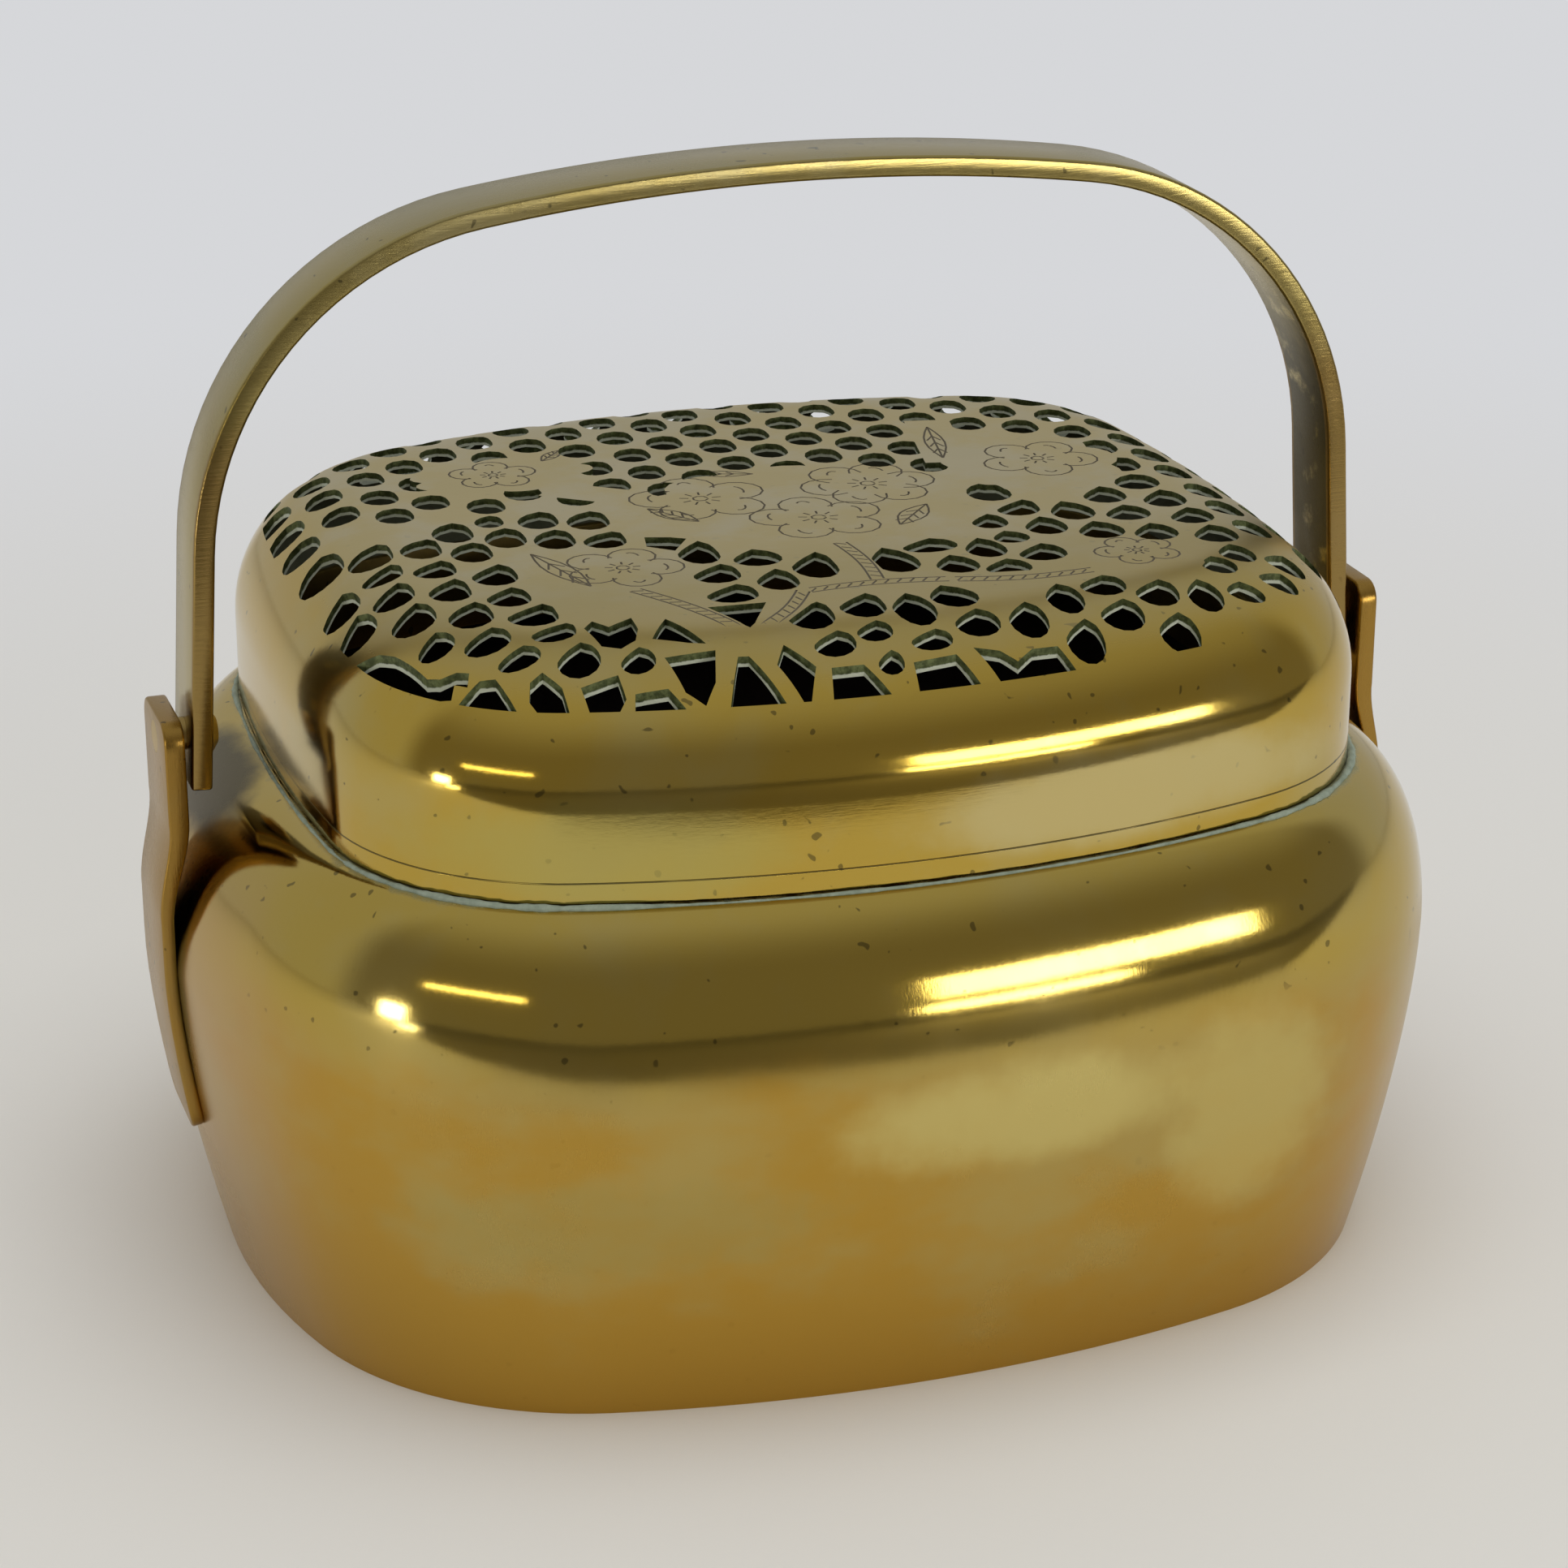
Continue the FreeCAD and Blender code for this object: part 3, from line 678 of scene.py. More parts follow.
# %% One scale and its copies
# Scales of the front: middle x and y, width and height as sawn, lean of the point.
FRONT_SCALES = [
    (-58.6, 0.0, 4.6, 7.6, 0.3), (-59.0, -12.7, 3.8, 6.0, 0.3), (-58.8, -20.4, 3.8, 6.2, 0.2),
    (-53.3, -3.6, 4.6, 6.6, 0.7), (-53.4, -10.4, 4.2, 4.6, 0.7), (-53.8, -17.6, 4.2, 6.0, 0.5),
    (-53.4, -25.8, 4.4, 6.8, 0.4), (-52.6, -33.6, 3.6, 4.2, 0.0), (-47.2, -4.1, 4.2, 6.4, 0.8),
    (-47.5, -12.2, 4.4, 5.6, 0.6), (-47.7, -20.2, 4.2, 7.0, 0.7), (-47.5, -29.2, 4.4, 7.0, 0.6),
    (-47.4, -36.6, 4.6, 4.4, 0.3), (-44.9, -41.2, 4.2, 3.0, 0.2), (-42.0, 1.0, 4.2, 6.8, 0.3),
    (-41.7, -7.2, 4.2, 6.6, 0.4), (-41.3, -16.4, 4.6, 6.8, 0.5), (-41.8, -24.8, 4.4, 6.0, 0.4),
    (-40.9, -32.0, 5.0, 6.4, 0.8), (-40.0, -38.0, 4.4, 3.8, 0.9), (-38.7, -43.7, 4.2, 4.4, 0.2),
    (-36.4, -3.0, 4.2, 6.8, 0.3), (-30.9, -5.4, 4.2, 6.6, 0.4), (-30.8, 2.6, 4.2, 6.0, 0.4),
    (-36.6, 4.0, 3.0, 4.2, 0.3), (-25.0, 0.6, 4.4, 6.4, 0.5), (-25.2, -7.6, 4.4, 5.4, 0.8),
    (-32.3, -45.7, 3.4, 3.2, 0.1), (-16.8, -31.8, 5.2, 5.6, 0.4), (-16.3, -24.2, 4.8, 6.0, 0.5),
    (-16.0, -15.8, 4.2, 7.6, 0.5), (-9.8, -19.8, 5.0, 5.6, -0.2), (-10.2, -28.5, 4.2, 6.8, 0.3),
    (-4.4, -24.8, 4.6, 8.4, 0.7), (-10.7, -41.6, 4.8, 6.8, 0.9), (-9.8, -48.2, 4.2, 3.4, 0.2),
    (-3.9, -40.4, 4.6, 6.8, 0.7), (-4.6, -47.0, 3.6, 3.2, 0.2), (-4.2, -51.6, 2.6, 2.4, 0.1),
    (1.6, -42.6, 4.2, 8.0, 0.1), (1.5, -49.4, 4.2, 2.6, 0.2), (5.4, -25.8, 4.8, 8.4, -0.3),
    (11.4, -21.9, 5.8, 4.6, 0.0), (12.0, -29.6, 4.4, 6.0, -0.2), (17.4, -24.8, 4.2, 6.6, -0.1),
    (17.4, -32.5, 4.8, 5.0, 0.1), (22.0, -21.8, 3.8, 4.2, -0.4), (23.3, -28.6, 5.0, 5.6, 0.2),
    (21.7, -15.2, 3.8, 5.0, 0.2), (27.0, -11.2, 4.6, 5.4, 0.7), (26.0, -3.8, 4.6, 6.6, -0.1),
    (27.6, -18.9, 4.4, 6.2, 0.0), (33.0, -14.2, 4.6, 6.8, -0.3), (33.4, -22.6, 4.8, 6.0, -0.2),
    (39.2, -17.2, 4.8, 5.4, 0.0), (39.3, -9.4, 4.6, 6.0, 0.1), (39.4, -25.4, 4.6, 5.8, 0.0),
    (45.4, -5.6, 4.8, 5.6, 0.0), (45.8, -13.2, 4.6, 6.2, 0.2), (46.2, -20.8, 4.6, 5.6, 0.1),
    (46.0, -28.4, 4.6, 6.0, 0.0), (45.8, -35.2, 4.0, 4.4, -0.3), (42.0, -38.5, 3.8, 3.8, -0.5),
    (7.4, -40.4, 4.8, 6.6, -0.5), (7.8, -47.3, 4.6, 4.2, 0.0), (14.0, -47.4, 4.0, 5.2, 0.1),
    (19.9, -50.6, 4.0, 4.4, 0.2), (19.9, -43.8, 3.8, 6.0, -0.1), (25.6, -41.7, 4.8, 4.6, 0.2),
    (25.8, -47.4, 4.6, 4.0, 0.2), (31.6, -44.0, 4.6, 4.2, 0.3), (32.3, -49.4, 4.4, 3.8, 0.0),
    (37.6, -44.4, 3.8, 4.4, -0.4), (38.5, -49.6, 4.2, 2.6, 0.0), (43.3, -43.6, 4.2, 2.6, -0.6),
    (49.0, -40.4, 4.4, 2.8, 0.2), (51.8, -36.0, 4.6, 3.6, 0.0)]
FILED_WIDER, FILED_TALLER = 1.20, 1.16
NOSE_TURNS = 7
POINTED = [(0.98, 0.05), (0.90, 0.17), (0.76, 0.31), (0.30, 0.50), (-0.28, 0.30), (-0.66, 0.15), (-0.92, 0.02)]
BLUNT = [(1.0, 0.10), (0.95, 0.25), (0.76, 0.40), (0.20, 0.50), (-0.40, 0.46), (-0.80, 0.30), (-0.98, 0.08)]


def scale(x=0.0, y=0.0, width=1.0, height=1.0, lean=0.0, blunt=0.0):
    """Outline of one opening: a round nose in front, flanks, and a leaning end behind."""
    half = width / 2
    corners = []
    for turn in range(NOSE_TURNS + 1):
        angle = math.pi * (1 + turn / NOSE_TURNS)
        corners.append((x + half * math.cos(angle), y - height * 0.10 + height * 0.40 * math.sin(angle)))
    for (px, py), (bx, by) in zip(POINTED, BLUNT):
        across = px + (bx - px) * blunt + lean * 0.6 * py / 0.5
        corners.append((x + half * min(max(across, -1.0), 1.05), y + height * (py + (by - py) * blunt)))
    return corners


def prism(name, corners, low=60.0, high=95.0):
    """An upright block over a flat outline given in millimetres."""
    nothing_selected()
    bpy.ops.mesh.primitive_circle_add(vertices=len(corners), radius=MM, fill_type="NGON")
    piece = bpy.context.object
    piece.name = piece.data.name = name
    for vertex, (x, y) in zip(piece.data.vertices, corners):
        vertex.co = (x * MM, y * MM, low * MM)
    bpy.ops.object.mode_set(mode="EDIT")
    bpy.ops.mesh.select_all(action="SELECT")
    bpy.ops.mesh.extrude_region_move(TRANSFORM_OT_translate={"value": (0, 0, (high - low) * MM)})
    bpy.ops.mesh.select_all(action="SELECT")
    bpy.ops.mesh.normals_make_consistent(inside=False)
    bpy.ops.object.mode_set(mode="OBJECT")
    return piece


def joined(pieces, name):
    nothing_selected()
    for piece in pieces:
        piece.select_set(True)
    bpy.context.view_layer.objects.active = pieces[0]
    bpy.ops.object.join()
    piece = bpy.context.object
    piece.name = piece.data.name = name
    return piece


def carve(piece, tool, operation="DIFFERENCE", overlaps=False):
    """Cuts with a tool, or keeps only what lies in it, and removes the tool."""
    apply(piece, "BOOLEAN", object=tool, operation=operation, solver="EXACT", material_mode="TRANSFER",
          use_self=overlaps)
    bpy.data.objects.remove(tool)
    return piece


def placed(pattern, corners):
    """A copy of the pattern scale, its corners moved to an outline."""
    twin = pattern.copy()
    twin.data = pattern.data.copy()
    for vertex, (x, y) in zip(twin.data.vertices, corners * 2):
        vertex.co.x, vertex.co.y = x * MM, y * MM
    bpy.context.collection.objects.link(twin)
    return twin


PITCH_X, PITCH_Y = 5.85, 8.0
hand = random.Random(7)
pattern = prism("saw_cuts", scale())
cuts = [placed(pattern, scale(x, y, wide * FILED_WIDER, tall * FILED_TALLER, lean, 0.6 if y > -9.0 else 0.1))
        for x, y, wide, tall, lean in FRONT_SCALES]
for column in range(21):
    for row in range(-5, 7):
        x = -58.8 + column * PITCH_X
        y = 2.0 + row * PITCH_Y + (PITCH_Y / 2 if column % 2 else 0.0)
        if y > 9.5 or x > 49.0 and y > -33.0 or x > 44.0 and y > -3.0:
            cuts.append(placed(pattern, scale(
                x + hand.uniform(-0.3, 0.3), y + hand.uniform(-0.3, 0.3), 4.75, 6.3 + hand.uniform(-0.2, 0.2), 0.2, 0.9)))
print("scales:", len(cuts))

# %% [markdown]
# ### Windows of the edge
# Along the front edge the saw cut larger windows between slanting bars, and two bars have
# broken out since: one at the left corner, one right of the middle. Each is drawn as a
# short outline.

# %% Edge windows
WINDOWS = [
    [(-60.8, -25.4), (-59.9, -31.5), (-57.4, -36.8), (-54.4, -40.4), (-52.9, -41.6), (-52.2, -40.4), (-51.0, -41.6),
     (-50.4, -40.2), (-51.6, -39.2), (-53.4, -38.6), (-54.6, -37.4), (-55.6, -34.2), (-56.7, -31.0), (-58.0, -28.4)],
    [(-52.6, -42.6), (-49.6, -41.8), (-48.0, -42.6), (-46.6, -47.0), (-49.6, -45.6)],
    [(-45.2, -46.6), (-44.4, -48.2), (-41.2, -49.4), (-41.4, -46.6), (-43.0, -44.2), (-44.6, -44.8)],
    [(-39.4, -47.2), (-35.0, -47.0), (-34.8, -49.6), (-37.2, -51.6), (-39.0, -50.2)],
    [(-36.4, -38.2), (-34.9, -36.2), (-33.6, -38.6), (-30.3, -36.4), (-30.6, -40.2), (-31.6, -42.6),
     (-33.6, -43.6), (-35.6, -42.6)],
    [(-34.6, -52.2), (-33.7, -49.4), (-30.0, -49.8), (-27.6, -53.4), (-30.0, -53.6)],
    [(-29.7, -42.8), (-26.7, -38.0), (-24.1, -45.2), (-26.0, -44.6)],
    [(-29.3, -46.2), (-23.4, -46.5), (-24.6, -50.4), (-26.3, -52.2), (-28.2, -50.6)],
    [(-24.3, -54.2), (-21.2, -48.0), (-20.0, -48.2), (-16.8, -54.8)],
    [(-20.9, -35.6), (-13.9, -36.0), (-18.2, -44.0)],
    [(-20.2, -8.0), (-15.2, -9.6), (-18.2, -14.2), (-21.0, -11.6)],
    [(-17.2, -49.9), (-15.6, -47.4), (-12.9, -50.9), (-14.9, -54.9)],
    [(-12.2, -55.4), (-11.2, -51.3), (-7.4, -51.5), (-4.4, -55.6)],
    [(-1.9, -55.8), (-1.6, -52.0), (3.7, -51.6), (6.4, -55.8)],
    [(6.0, -51.0), (9.0, -51.6), (10.8, -52.8), (13.0, -51.6), (16.2, -51.4), (18.4, -54.8), (12.0, -55.8),
     (8.6, -55.4)],
    [(23.6, -53.8), (24.8, -51.4), (28.4, -51.2), (30.8, -53.4), (27.0, -54.2)],
    [(41.6, -46.9), (46.0, -46.6), (50.0, -45.4), (46.4, -48.2), (43.2, -49.6)],
    [(47.2, -44.4), (51.0, -43.2), (54.6, -40.8), (52.6, -43.4), (49.6, -45.0)]]
cuts += [prism("window", corners) for corners in WINDOWS]
bpy.data.objects.remove(pattern)
saw = joined(cuts, "saw_cuts")
print("openings before trimming:", len(cuts))

# %% Field and flower grounds
BORDER = 4.0
BLOSSOMS = [(1.5, -1.5, 21.0, 17.0), (-29.5, -23.0, 9.5, 13.0), (-30.0, 22.5, 12.0, 7.5),
            (36.0, 6.5, 11.5, 14.0), (33.0, -34.5, 9.0, 6.6)]
STEMS = [(-27.0, -32.0, -18.5, -46.0, 1.6), (-18.5, -46.0, -7.0, -33.5, 1.6), (-8.0, -33.8, 9.0, -35.0, 1.7),
         (9.0, -35.0, 26.0, -37.6, 1.9), (1.5, -18.0, 1.2, -34.0, 1.7), (-26.0, 15.0, -17.0, 8.0, 3.0),
         (26.0, 10.0, 30.0, 29.0, 3.0), (12.0, -37.0, 16.5, -42.5, 3.0)]


def lobed(x, y, half_length, half_width, petals=9, depth=0.13, steps=6):
    """Outline of a flower's ground with round petals."""
    corners = []
    for number in range(petals * steps):
        angle = 2 * math.pi * number / (petals * steps)
        reach = 1 - depth * (1 - abs(math.cos(petals * angle / 2))) ** 1.3
        corners.append((x + half_length * reach * math.cos(angle), y + half_width * reach * math.sin(angle)))
    return corners


def strip(x1, y1, x2, y2, half):
    """Outline of a straight stem's ground."""
    run = Vector((x2 - x1, y2 - y1)).normalized() * half
    return [(x1 - run.y, y1 + run.x), (x1 + run.y, y1 - run.x), (x2 + run.y, y2 - run.x), (x2 - run.y, y2 + run.x)]


def without_chips(piece, least=5.5):
    """Drops trimmed openings that are too small for the saw, by their area seen from above."""
    mesh = bmesh.new()
    mesh.from_mesh(piece.data)
    left = set(mesh.verts)
    while left:
        island, edge = set(), [left.pop()]
        while edge:
            corner = edge.pop()
            island.add(corner)
            for line in corner.link_edges:
                other = line.other_vert(corner)
                if other in left:
                    left.discard(other)
                    edge.append(other)
        faces = {face for corner in island for face in corner.link_faces}
        area = sum(face.calc_area() * max(face.normal.z, 0.0) for face in faces) / MM ** 2
        if area < least:
            bmesh.ops.delete(mesh, geom=list(island), context="VERTS")
    mesh.to_mesh(piece.data)
    mesh.free()


field = prism("field", [(x / MM, y / MM) for x, y, _ in ring(grown(COVER, -BORDER), 0)], 62.0, 93.0)
carve(saw, field, "INTERSECT", overlaps=True)
outward(saw)
for row in BLOSSOMS:
    carve(saw, prism("ground", lobed(*row), 55.0, 99.0))
for row in STEMS:
    carve(saw, prism("ground", strip(*row), 55.0, 99.0))
outward(saw)
without_chips(saw)
saw.data.materials.clear()
saw.data.materials.append(SAWN)
print("saw cuts:", len(saw.data.polygons), "faces")

# %% [markdown]
# ### Engraving
# The grounds carry open blossoms with round petals, stamens and veined leaves, and the
# stems are two lines with hatching between them. A graver leaves a shallow groove, so each
# line is drawn as a thin round cord, half sunk, and cut out of the sheet.

# %% Engraved lines
LINES = []


def arc(x, y, wide, tall, start, finish, steps=9):
    """A curved line, part of an ellipse between two angles in degrees."""
    angles = [math.radians(start + (finish - start) * step / steps) for step in range(steps + 1)]
    LINES.append([(x + wide * math.cos(angle), y + tall * math.sin(angle)) for angle in angles])


def blossom(x, y, reach, petals=5, turn=20.0):
    """Round petals about a ring of stamens."""
    for petal in range(petals):
        angle = turn + 360.0 * petal / petals
        px, py = x + reach * 0.62 * math.cos(math.radians(angle)), y + reach * 0.62 * math.sin(math.radians(angle))
        arc(px, py, reach * 0.40, reach * 0.40, angle - 118, angle + 118)
        arc(px, py, reach * 0.12, reach * 0.20, angle - 60, angle + 50, 4)
    arc(x, y, reach * 0.11, reach * 0.11, 0, 340, 7)
    for stamen in range(9):
        angle = math.radians(40.0 * stamen)
        LINES.append([(x + reach * part * math.cos(angle), y + reach * part * math.sin(angle)) for part in (0.17, 0.30)])


def hatched(x1, y1, x2, y2, half, bend=0.0):
    """A stem: two curved lines and short strokes between them."""
    along = Vector((x2 - x1, y2 - y1))
    across = Vector((-along.y, along.x)).normalized()
    count = int(along.length / 1.5)
    path = [Vector((x1, y1)) + along * (step / count) + across * bend * math.sin(math.pi * step / count)
            for step in range(count + 1)]
    for side in (-half, half):
        LINES.append([tuple(place + across * side) for place in path])
    for place in path[:-1]:
        LINES.append([tuple(place - across * half * 0.7), tuple(place + across * half * 0.7 + along.normalized() * 0.8)])


def leaf(x1, y1, x2, y2, wide):
    """A leaf: two bowed edges, a middle vein and side veins."""
    start, along = Vector((x1, y1)), Vector((x2 - x1, y2 - y1))
    across = Vector((-along.y, along.x)).normalized() * wide
    for side in (-1, 1):
        LINES.append([tuple(start + along * (step / 6) + across * side * math.sin(math.pi * step / 6)) for step in range(7)])
        for vein in (0.3, 0.5, 0.7):
            LINES.append([tuple(start + along * vein), tuple(start + along * (vein + 0.14) + across * side * 0.7)])
    LINES.append([tuple(start), tuple(start + along)])


for row in ((-9.0, 5.0, 8.8, 5, 20), (2.5, -7.0, 8.4, 5, 90), (13.0, 4.5, 8.6, 6, 0), (-26.0, -18.5, 7.2, 5, 60),
            (-31.0, 23.0, 5.6, 5, 10), (37.5, 8.0, 7.6, 5, 50), (34.5, -31.5, 5.2, 5, 30)):
    blossom(*row)
for row in ((-35.0, -10.0, -31.5, -24.0, 1.6), (-12.0, -4.0, -16.5, 3.0, 1.5), (17.0, -6.0, 11.0, -13.0, 1.7),
            (29.0, 26.0, 26.0, 12.0, 1.3), (0.5, 13.0, -7.0, 15.5, 1.2), (-23.5, 27.0, -20.0, 31.0, 1.0)):
    leaf(*row)
for row in ((-27.0, -27.0, -19.2, -45.0, 0.8, 0.8), (-17.6, -44.6, -8.5, -33.4, 0.8, -0.8), (-7.6, -33.4, 9.0, -34.6, 0.8, 0.9),
            (10.0, -35.0, 26.5, -36.8, 0.8, -1.0), (1.6, -17.5, 1.2, -32.0, 0.8, 0.6)):
    hatched(*row)

cords = []
for line in LINES:
    curve = bpy.data.curves.new("cord", "CURVE")
    curve.dimensions = "3D"
    curve.bevel_depth = 0.17 * MM
    curve.bevel_resolution = 0
    curve.use_fill_caps = True
    spline = curve.splines.new("POLY")
    spline.points.add(len(line) - 1)
    for point, (x, y) in zip(spline.points, line):
        point.co = (x * MM, y * MM, (CROWN + 0.03) * MM, 1.0)
    cord = bpy.data.objects.new("cord", curve)
    bpy.context.collection.objects.link(cord)
    cords.append(cord)
nothing_selected()
for cord in cords:
    cord.select_set(True)
bpy.context.view_layer.objects.active = cords[0]
bpy.ops.object.convert(target="MESH")
graver = joined(cords, "graver")
graver.data.materials.clear()
graver.data.materials.append(CUT)
outward(graver)
carve(cover, graver, overlaps=True)
print("engraved lines:", len(LINES), "cover faces:", len(cover.data.polygons))

# %% Cutting
carve(cover, saw, overlaps=True)
print("cover faces:", len(cover.data.polygons))

# %% Depth in the sheet
cover.data.attributes.new("depth", "FLOAT", "POINT")


def sheet_depth(place):
    """0 on the cover's outside, 1 on its inside, by the distance to the curved outside."""
    x, y, z = (value / MM for value in place)
    spring = CROWN - ROUNDING
    inset = inward(x, y)
    if z <= spring:
        return inset / SHEET
    if inset >= ROUNDING:
        return (CROWN - z) / SHEET
    return (ROUNDING - math.hypot(ROUNDING - inset, z - spring)) / SHEET


for vertex, depth in zip(cover.data.vertices, cover.data.attributes["depth"].data):
    depth.value = min(max(sheet_depth(vertex.co), 0.0), 1.0)
smooth(cover, 30.0)
dressed(cover, None, "cover", "cover_brass", "pierced_cover")

# %% [markdown]
# ## The handle
# The handle is one flat bar, bent cold to a low arch with a round corner each side. Spin
# sweeps a face round a centre, which is just what bending does: once round the wide bow,
# once round the corner, and then the leg runs on straight. Mirror makes the left half and
# a fine bevel breaks the edges.

# %% Handle
BAR_WIDTH, BAR_THICKNESS = 11.3, 2.6
BOW, BEND, SPLAY = 263.0, 41.0, math.radians(3.5)
HANDLE_TOP, PIVOT, FOOT_BELOW = 134.5, 70.0, 5.6
LEG_MIDDLE = 74.9


def corner_middle():
    """Middle of the right-hand bend, so that the splayed leg passes the pivot."""
    reach = BOW - BEND
    x = LEG_MIDDLE - BEND
    for _ in range(20):
        z = HANDLE_TOP - BOW + math.sqrt(reach ** 2 - x ** 2)
        x = LEG_MIDDLE - (z + BEND * math.sin(SPLAY) - PIVOT) * math.tan(SPLAY) - BEND * math.cos(SPLAY)
    return x, z


def swept(steps, angle, x, z):
    bpy.ops.mesh.spin(steps=steps, angle=angle, center=(x * MM, 0, z * MM), axis=(0, -1, 0))


bend_x, bend_z = corner_middle()
bow_z = HANDLE_TOP - BOW
meet = math.atan2(bend_z - bow_z, bend_x)
nothing_selected()
bpy.ops.mesh.primitive_plane_add(size=1.0, location=(0, 0, HANDLE_TOP * MM), rotation=(0, math.pi / 2, 0))
handle = bpy.context.object
handle.name = handle.data.name = "handle_bar"
bpy.ops.object.transform_apply(location=True, rotation=True, scale=True)
bpy.ops.object.mode_set(mode="EDIT")
bpy.ops.mesh.select_all(action="SELECT")
bpy.ops.transform.resize(value=(1, BAR_WIDTH * MM, BAR_THICKNESS * MM), center_override=(0, 0, HANDLE_TOP * MM))
swept(14, math.pi / 2 - meet, 0, bow_z)
swept(22, meet - SPLAY, bend_x, bend_z)
leg = (bend_z + BEND * math.sin(SPLAY) - PIVOT + FOOT_BELOW) / math.cos(SPLAY)
bpy.ops.mesh.extrude_region_move(
    TRANSFORM_OT_translate={"value": (leg * math.sin(SPLAY) * MM, 0, -leg * math.cos(SPLAY) * MM)})
bpy.ops.object.mode_set(mode="OBJECT")
mesh = bmesh.new()
mesh.from_mesh(handle.data)
middle = [face for face in mesh.faces if all(abs(corner.co.x) < 1e-6 for corner in face.verts)]
bmesh.ops.delete(mesh, geom=middle, context="FACES")
mesh.to_mesh(handle.data)
mesh.free()
apply(handle, "MIRROR", use_axis=(True, False, False), merge_threshold=0.01 * MM)
apply(handle, "BEVEL", width=0.4 * MM, segments=3, limit_method="ANGLE", angle_limit=math.radians(50))


def drill(radius, length):
    """A round bar along X through both pivots."""
    nothing_selected()
    bpy.ops.mesh.primitive_cylinder_add(
        vertices=48, radius=radius * MM, depth=length * MM, location=(0, 0, PIVOT * MM), rotation=(0, math.pi / 2, 0))
    piece = bpy.context.object
    bpy.ops.object.transform_apply(location=True, rotation=True, scale=True)
    return piece


outward(handle)
carve(handle, drill(2.05, 170))
smooth(handle)
inside = handle.data.attributes.new("inside", "FLOAT", "FACE")
for face, value in zip(handle.data.polygons, inside.data):
    value.value = 1.0 if face.normal.x * face.center.x < -0.5 * abs(face.center.x) else 0.0
dressed(handle, BAR, "handle", "handle_brass", "handle")

# %% [markdown]
# ## The lugs
# Each lug is a strap that stands off the shoulder to leave room for the handle, then bends
# out and lies on the belly, where it is brazed. Its side view is a line of stations. The
# end face of the strap is extruded from one station to the next, and its four corners are
# laid on each.

# %% Lugs
STRAP_WIDTH, STRAP_THICKNESS, STRAP_FOOT_THICKNESS = 14.0, 2.2, 1.3
STAND_OFF, LUG_FOOT = 77.5, 20.2
BEND_TOP, BEND_FOOT, SUNK = 61.0, 48.0, 0.3


def strap_inside(z):
    """Distance of the strap's inner face from the middle at a height."""
    if z >= BEND_TOP:
        return STAND_OFF
    if z >= BEND_FOOT:
        share = (BEND_TOP - z) / (BEND_TOP - BEND_FOOT)
        return STAND_OFF + (BELLY.length / 2 - STAND_OFF) * (3 * share ** 2 - 2 * share ** 3)
    if z >= BELLY_HEIGHT:
        return BELLY.length / 2
    return BELLY.length / 2 - FOOT_DRAW_IN * (1 - z / BELLY_HEIGHT) ** FOOT_CURVE


def strap_end(z, face_width=STRAP_WIDTH):
    """Four corners of the strap's cross-section at a height; the foot is hammered thinner."""
    slope = (strap_inside(z - 0.5) - strap_inside(z + 0.5))
    inner = strap_inside(z) - SUNK
    thinned = min(max((BEND_TOP - z) / (BEND_TOP - BEND_FOOT), 0.0), 1.0)
    thick = STRAP_THICKNESS + (STRAP_FOOT_THICKNESS - STRAP_THICKNESS) * thinned + SUNK
    tilt = math.atan(slope)
    outer = inner + thick * math.cos(tilt)
    rise = thick * math.sin(tilt)
    half = face_width / 2
    return [(inner, -half, z), (outer, -half, z + rise), (outer, half, z + rise), (inner, half, z)]


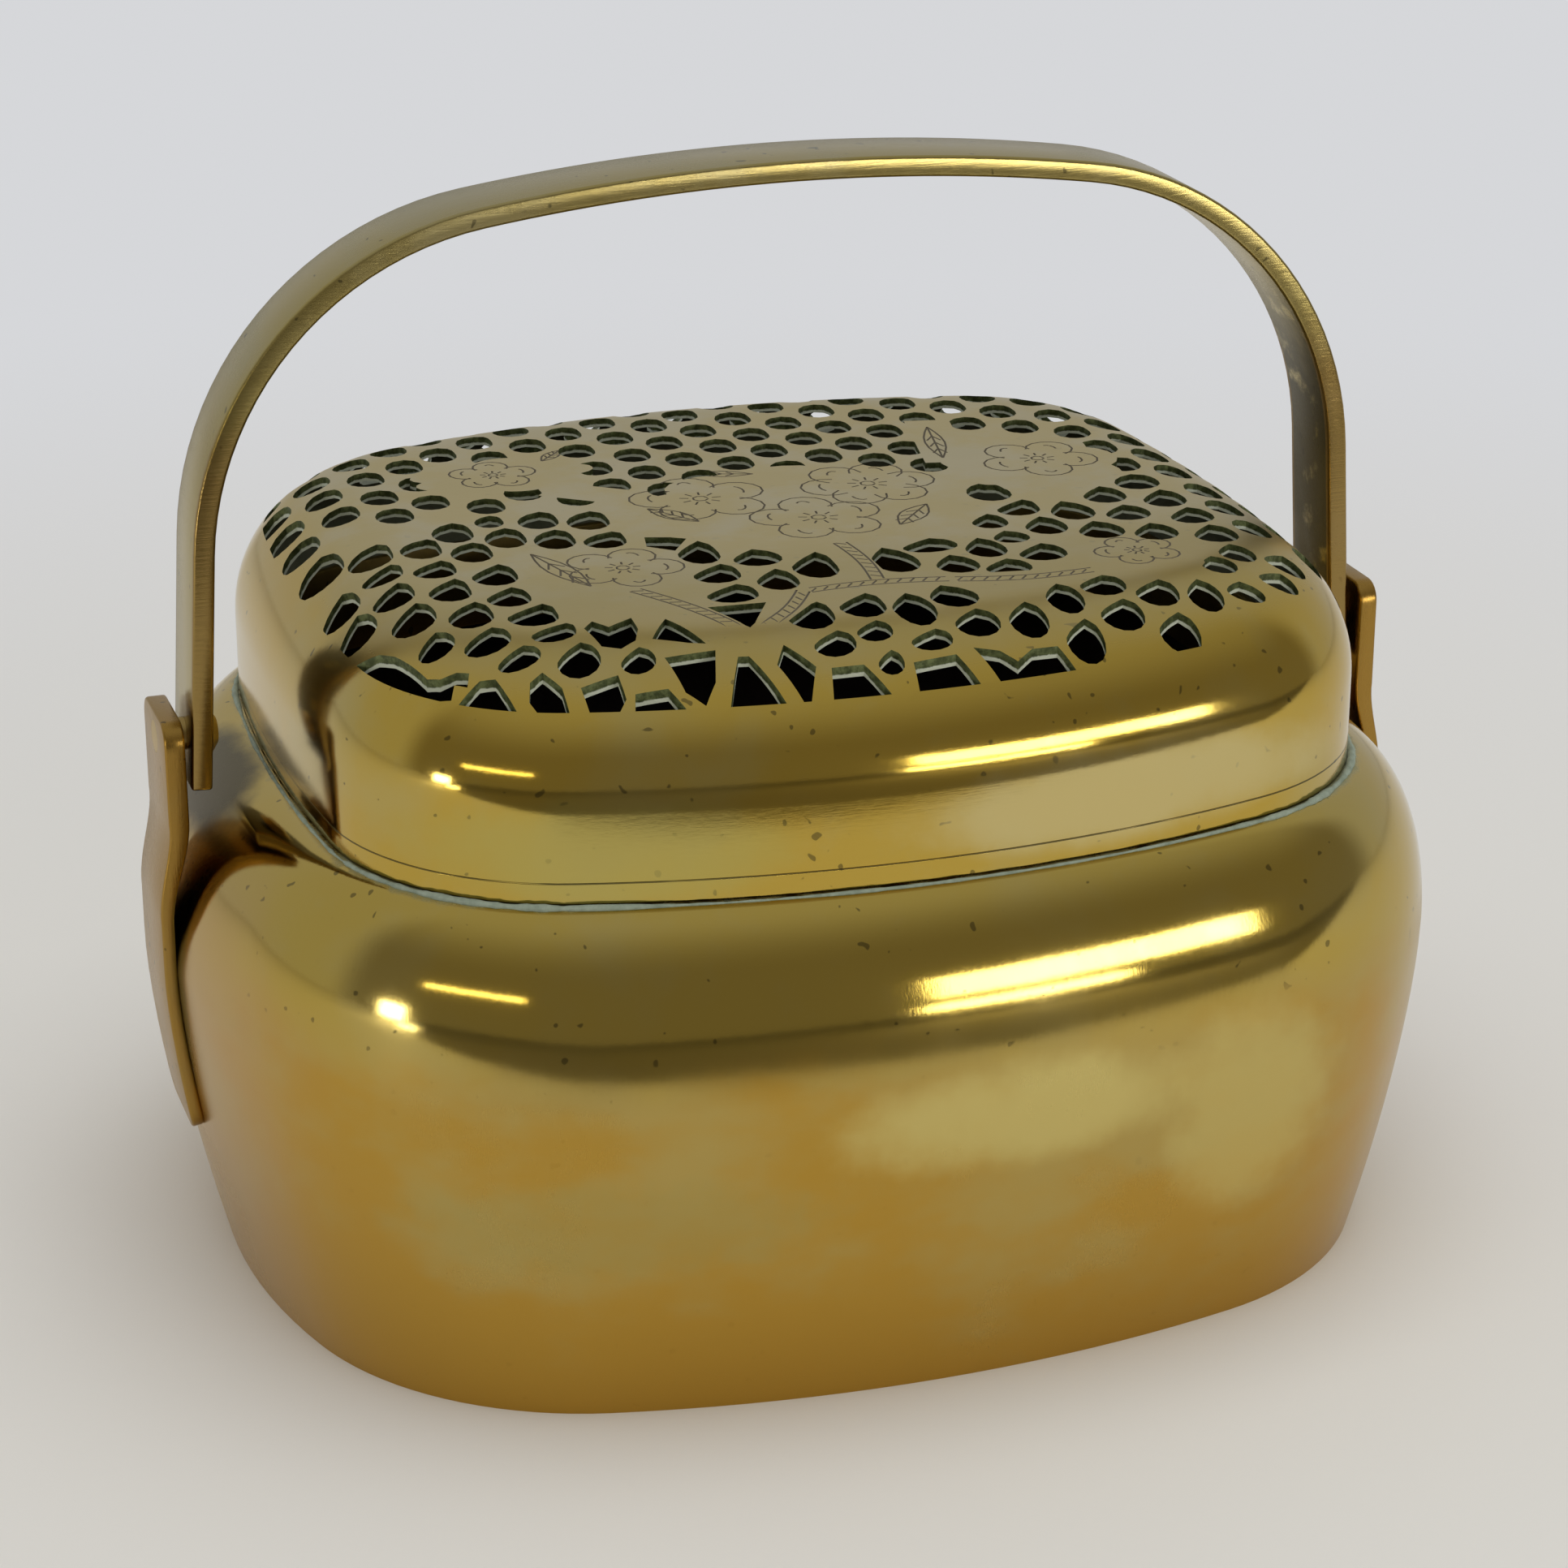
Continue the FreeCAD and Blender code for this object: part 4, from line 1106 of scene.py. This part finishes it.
def lug(name, side, top):
    heights = [top, 70.0, 65.0] + [61.0 - step for step in range(15)] + [43.0, 40.0]
    heights += [37.0, 34.0, 30.0, 27.0, 24.0, LUG_FOOT]
    nothing_selected()
    bpy.ops.mesh.primitive_plane_add(size=MM)
    piece = bpy.context.object
    piece.name = piece.data.name = name
    bpy.ops.object.mode_set(mode="EDIT")
    bpy.ops.mesh.select_all(action="SELECT")
    for number, z in enumerate(heights):
        if number:
            bpy.ops.mesh.extrude_region_move()
        mesh = bmesh.from_edit_mesh(piece.data)
        corners = [corner for corner in mesh.verts if corner.select]
        around = sorted(corners, key=lambda c: math.atan2(c.co.y - sum(k.co.y for k in corners) / 4,
                                                          c.co.x - sum(k.co.x for k in corners) / 4))
        goals = strap_end(z)
        goals = sorted(goals, key=lambda p: math.atan2(p[1], p[0] - (goals[0][0] + goals[1][0]) / 2))
        for corner, (x, y, height) in zip(around, goals):
            corner.co = (x * MM, y * MM, height * MM)
        bmesh.update_edit_mesh(piece.data)
    bpy.ops.mesh.select_mode(type="EDGE")
    bpy.ops.mesh.select_all(action="DESELECT")
    mesh = bmesh.from_edit_mesh(piece.data)
    for line in mesh.edges:
        first, second = (corner.co for corner in line.verts)
        across = abs(first.y - second.y) < 1e-6 and abs(first.x - second.x) > 1.0 * MM
        at_end = min(first.z, second.z) > (top - 0.2) * MM or max(first.z, second.z) < (LUG_FOOT + 1.0) * MM
        line.select_set(across and at_end)
    bmesh.update_edit_mesh(piece.data)
    bpy.ops.mesh.bevel(offset=2.6 * MM, segments=6, affect="EDGES")
    bpy.ops.mesh.select_mode(type="VERT")
    bpy.ops.object.mode_set(mode="OBJECT")
    if side < 0:
        for vertex in piece.data.vertices:
            vertex.co.x = -vertex.co.x
    outward(piece)
    apply(piece, "BEVEL", width=0.35 * MM, segments=3, limit_method="ANGLE", angle_limit=math.radians(50))
    carve(piece, drill(2.02, 170))
    smooth(piece, 40.0)
    return piece


for name, side, top in (("lug_right", 1, 74.8), ("lug_left", -1, 73.4)):
    dressed(lug("strap_" + name, side, top), STRAP, "vessel", "lug_brass", name)

# %% [markdown]
# ## Measured solids that stay
# The pins and the base plate are plain turned and flat shapes, so the measured solids stay
# and only get their finish.

# %% Finishes of the measured solids
for name, finish in (("pivot_pin_right", RIVET), ("pivot_pin_left", RIVET), ("base_plate", PLATE)):
    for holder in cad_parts[name].material_slots:
        holder.material = finish

# %% [markdown]
# ## Floor
# The object stands on pale paper. Far from it the camera sees the paper as an even
# background, and in front of it the brass mirrors the dark edge of the table.

# %% Paper
PAPER = (0.88, 0.86, 0.82)
paper = Finish("pale_paper")
fibre = paper.noise(0.8, detail=3.0)
sheet = paper.node("BsdfPrincipled", {
    "Base Color": paper.mix(fibre * 0.15, PAPER, tuple(part * 0.93 for part in PAPER)), "Roughness": 0.9}, out="BSDF")
dark = paper.node("BsdfPrincipled", {"Base Color": (0.17, 0.155, 0.125, 1.0), "Roughness": 0.9}, out="BSDF")
glow = paper.node("Emission", {"Color": (*BACKGROUND, 1.0), "Strength": 1.0})
direct = paper.node("LightPath", out="Is Camera Ray")
away = paper.node("VectorMath", {0: paper.stretched(1, 1, 1)}, out="Value", operation="LENGTH")
beyond = paper.above(away, 130.0, 480.0) * direct
front_edge = (1.0 - paper.above(paper.axis("Y"), -257.0, -253.0)) * (1.0 - direct)
table = paper.node("MixShader", {0: front_edge, 1: sheet, 2: dark}, out="Shader")
paper.node("OutputMaterial", {"Surface": paper.node("MixShader", {0: beyond, 1: table, 2: glow}, out="Shader")})

nothing_selected()
bpy.ops.mesh.primitive_plane_add(size=6.0)
floor = bpy.context.object
floor.name = floor.data.name = "paper_sheet"
floor.data.materials.append(paper.material)
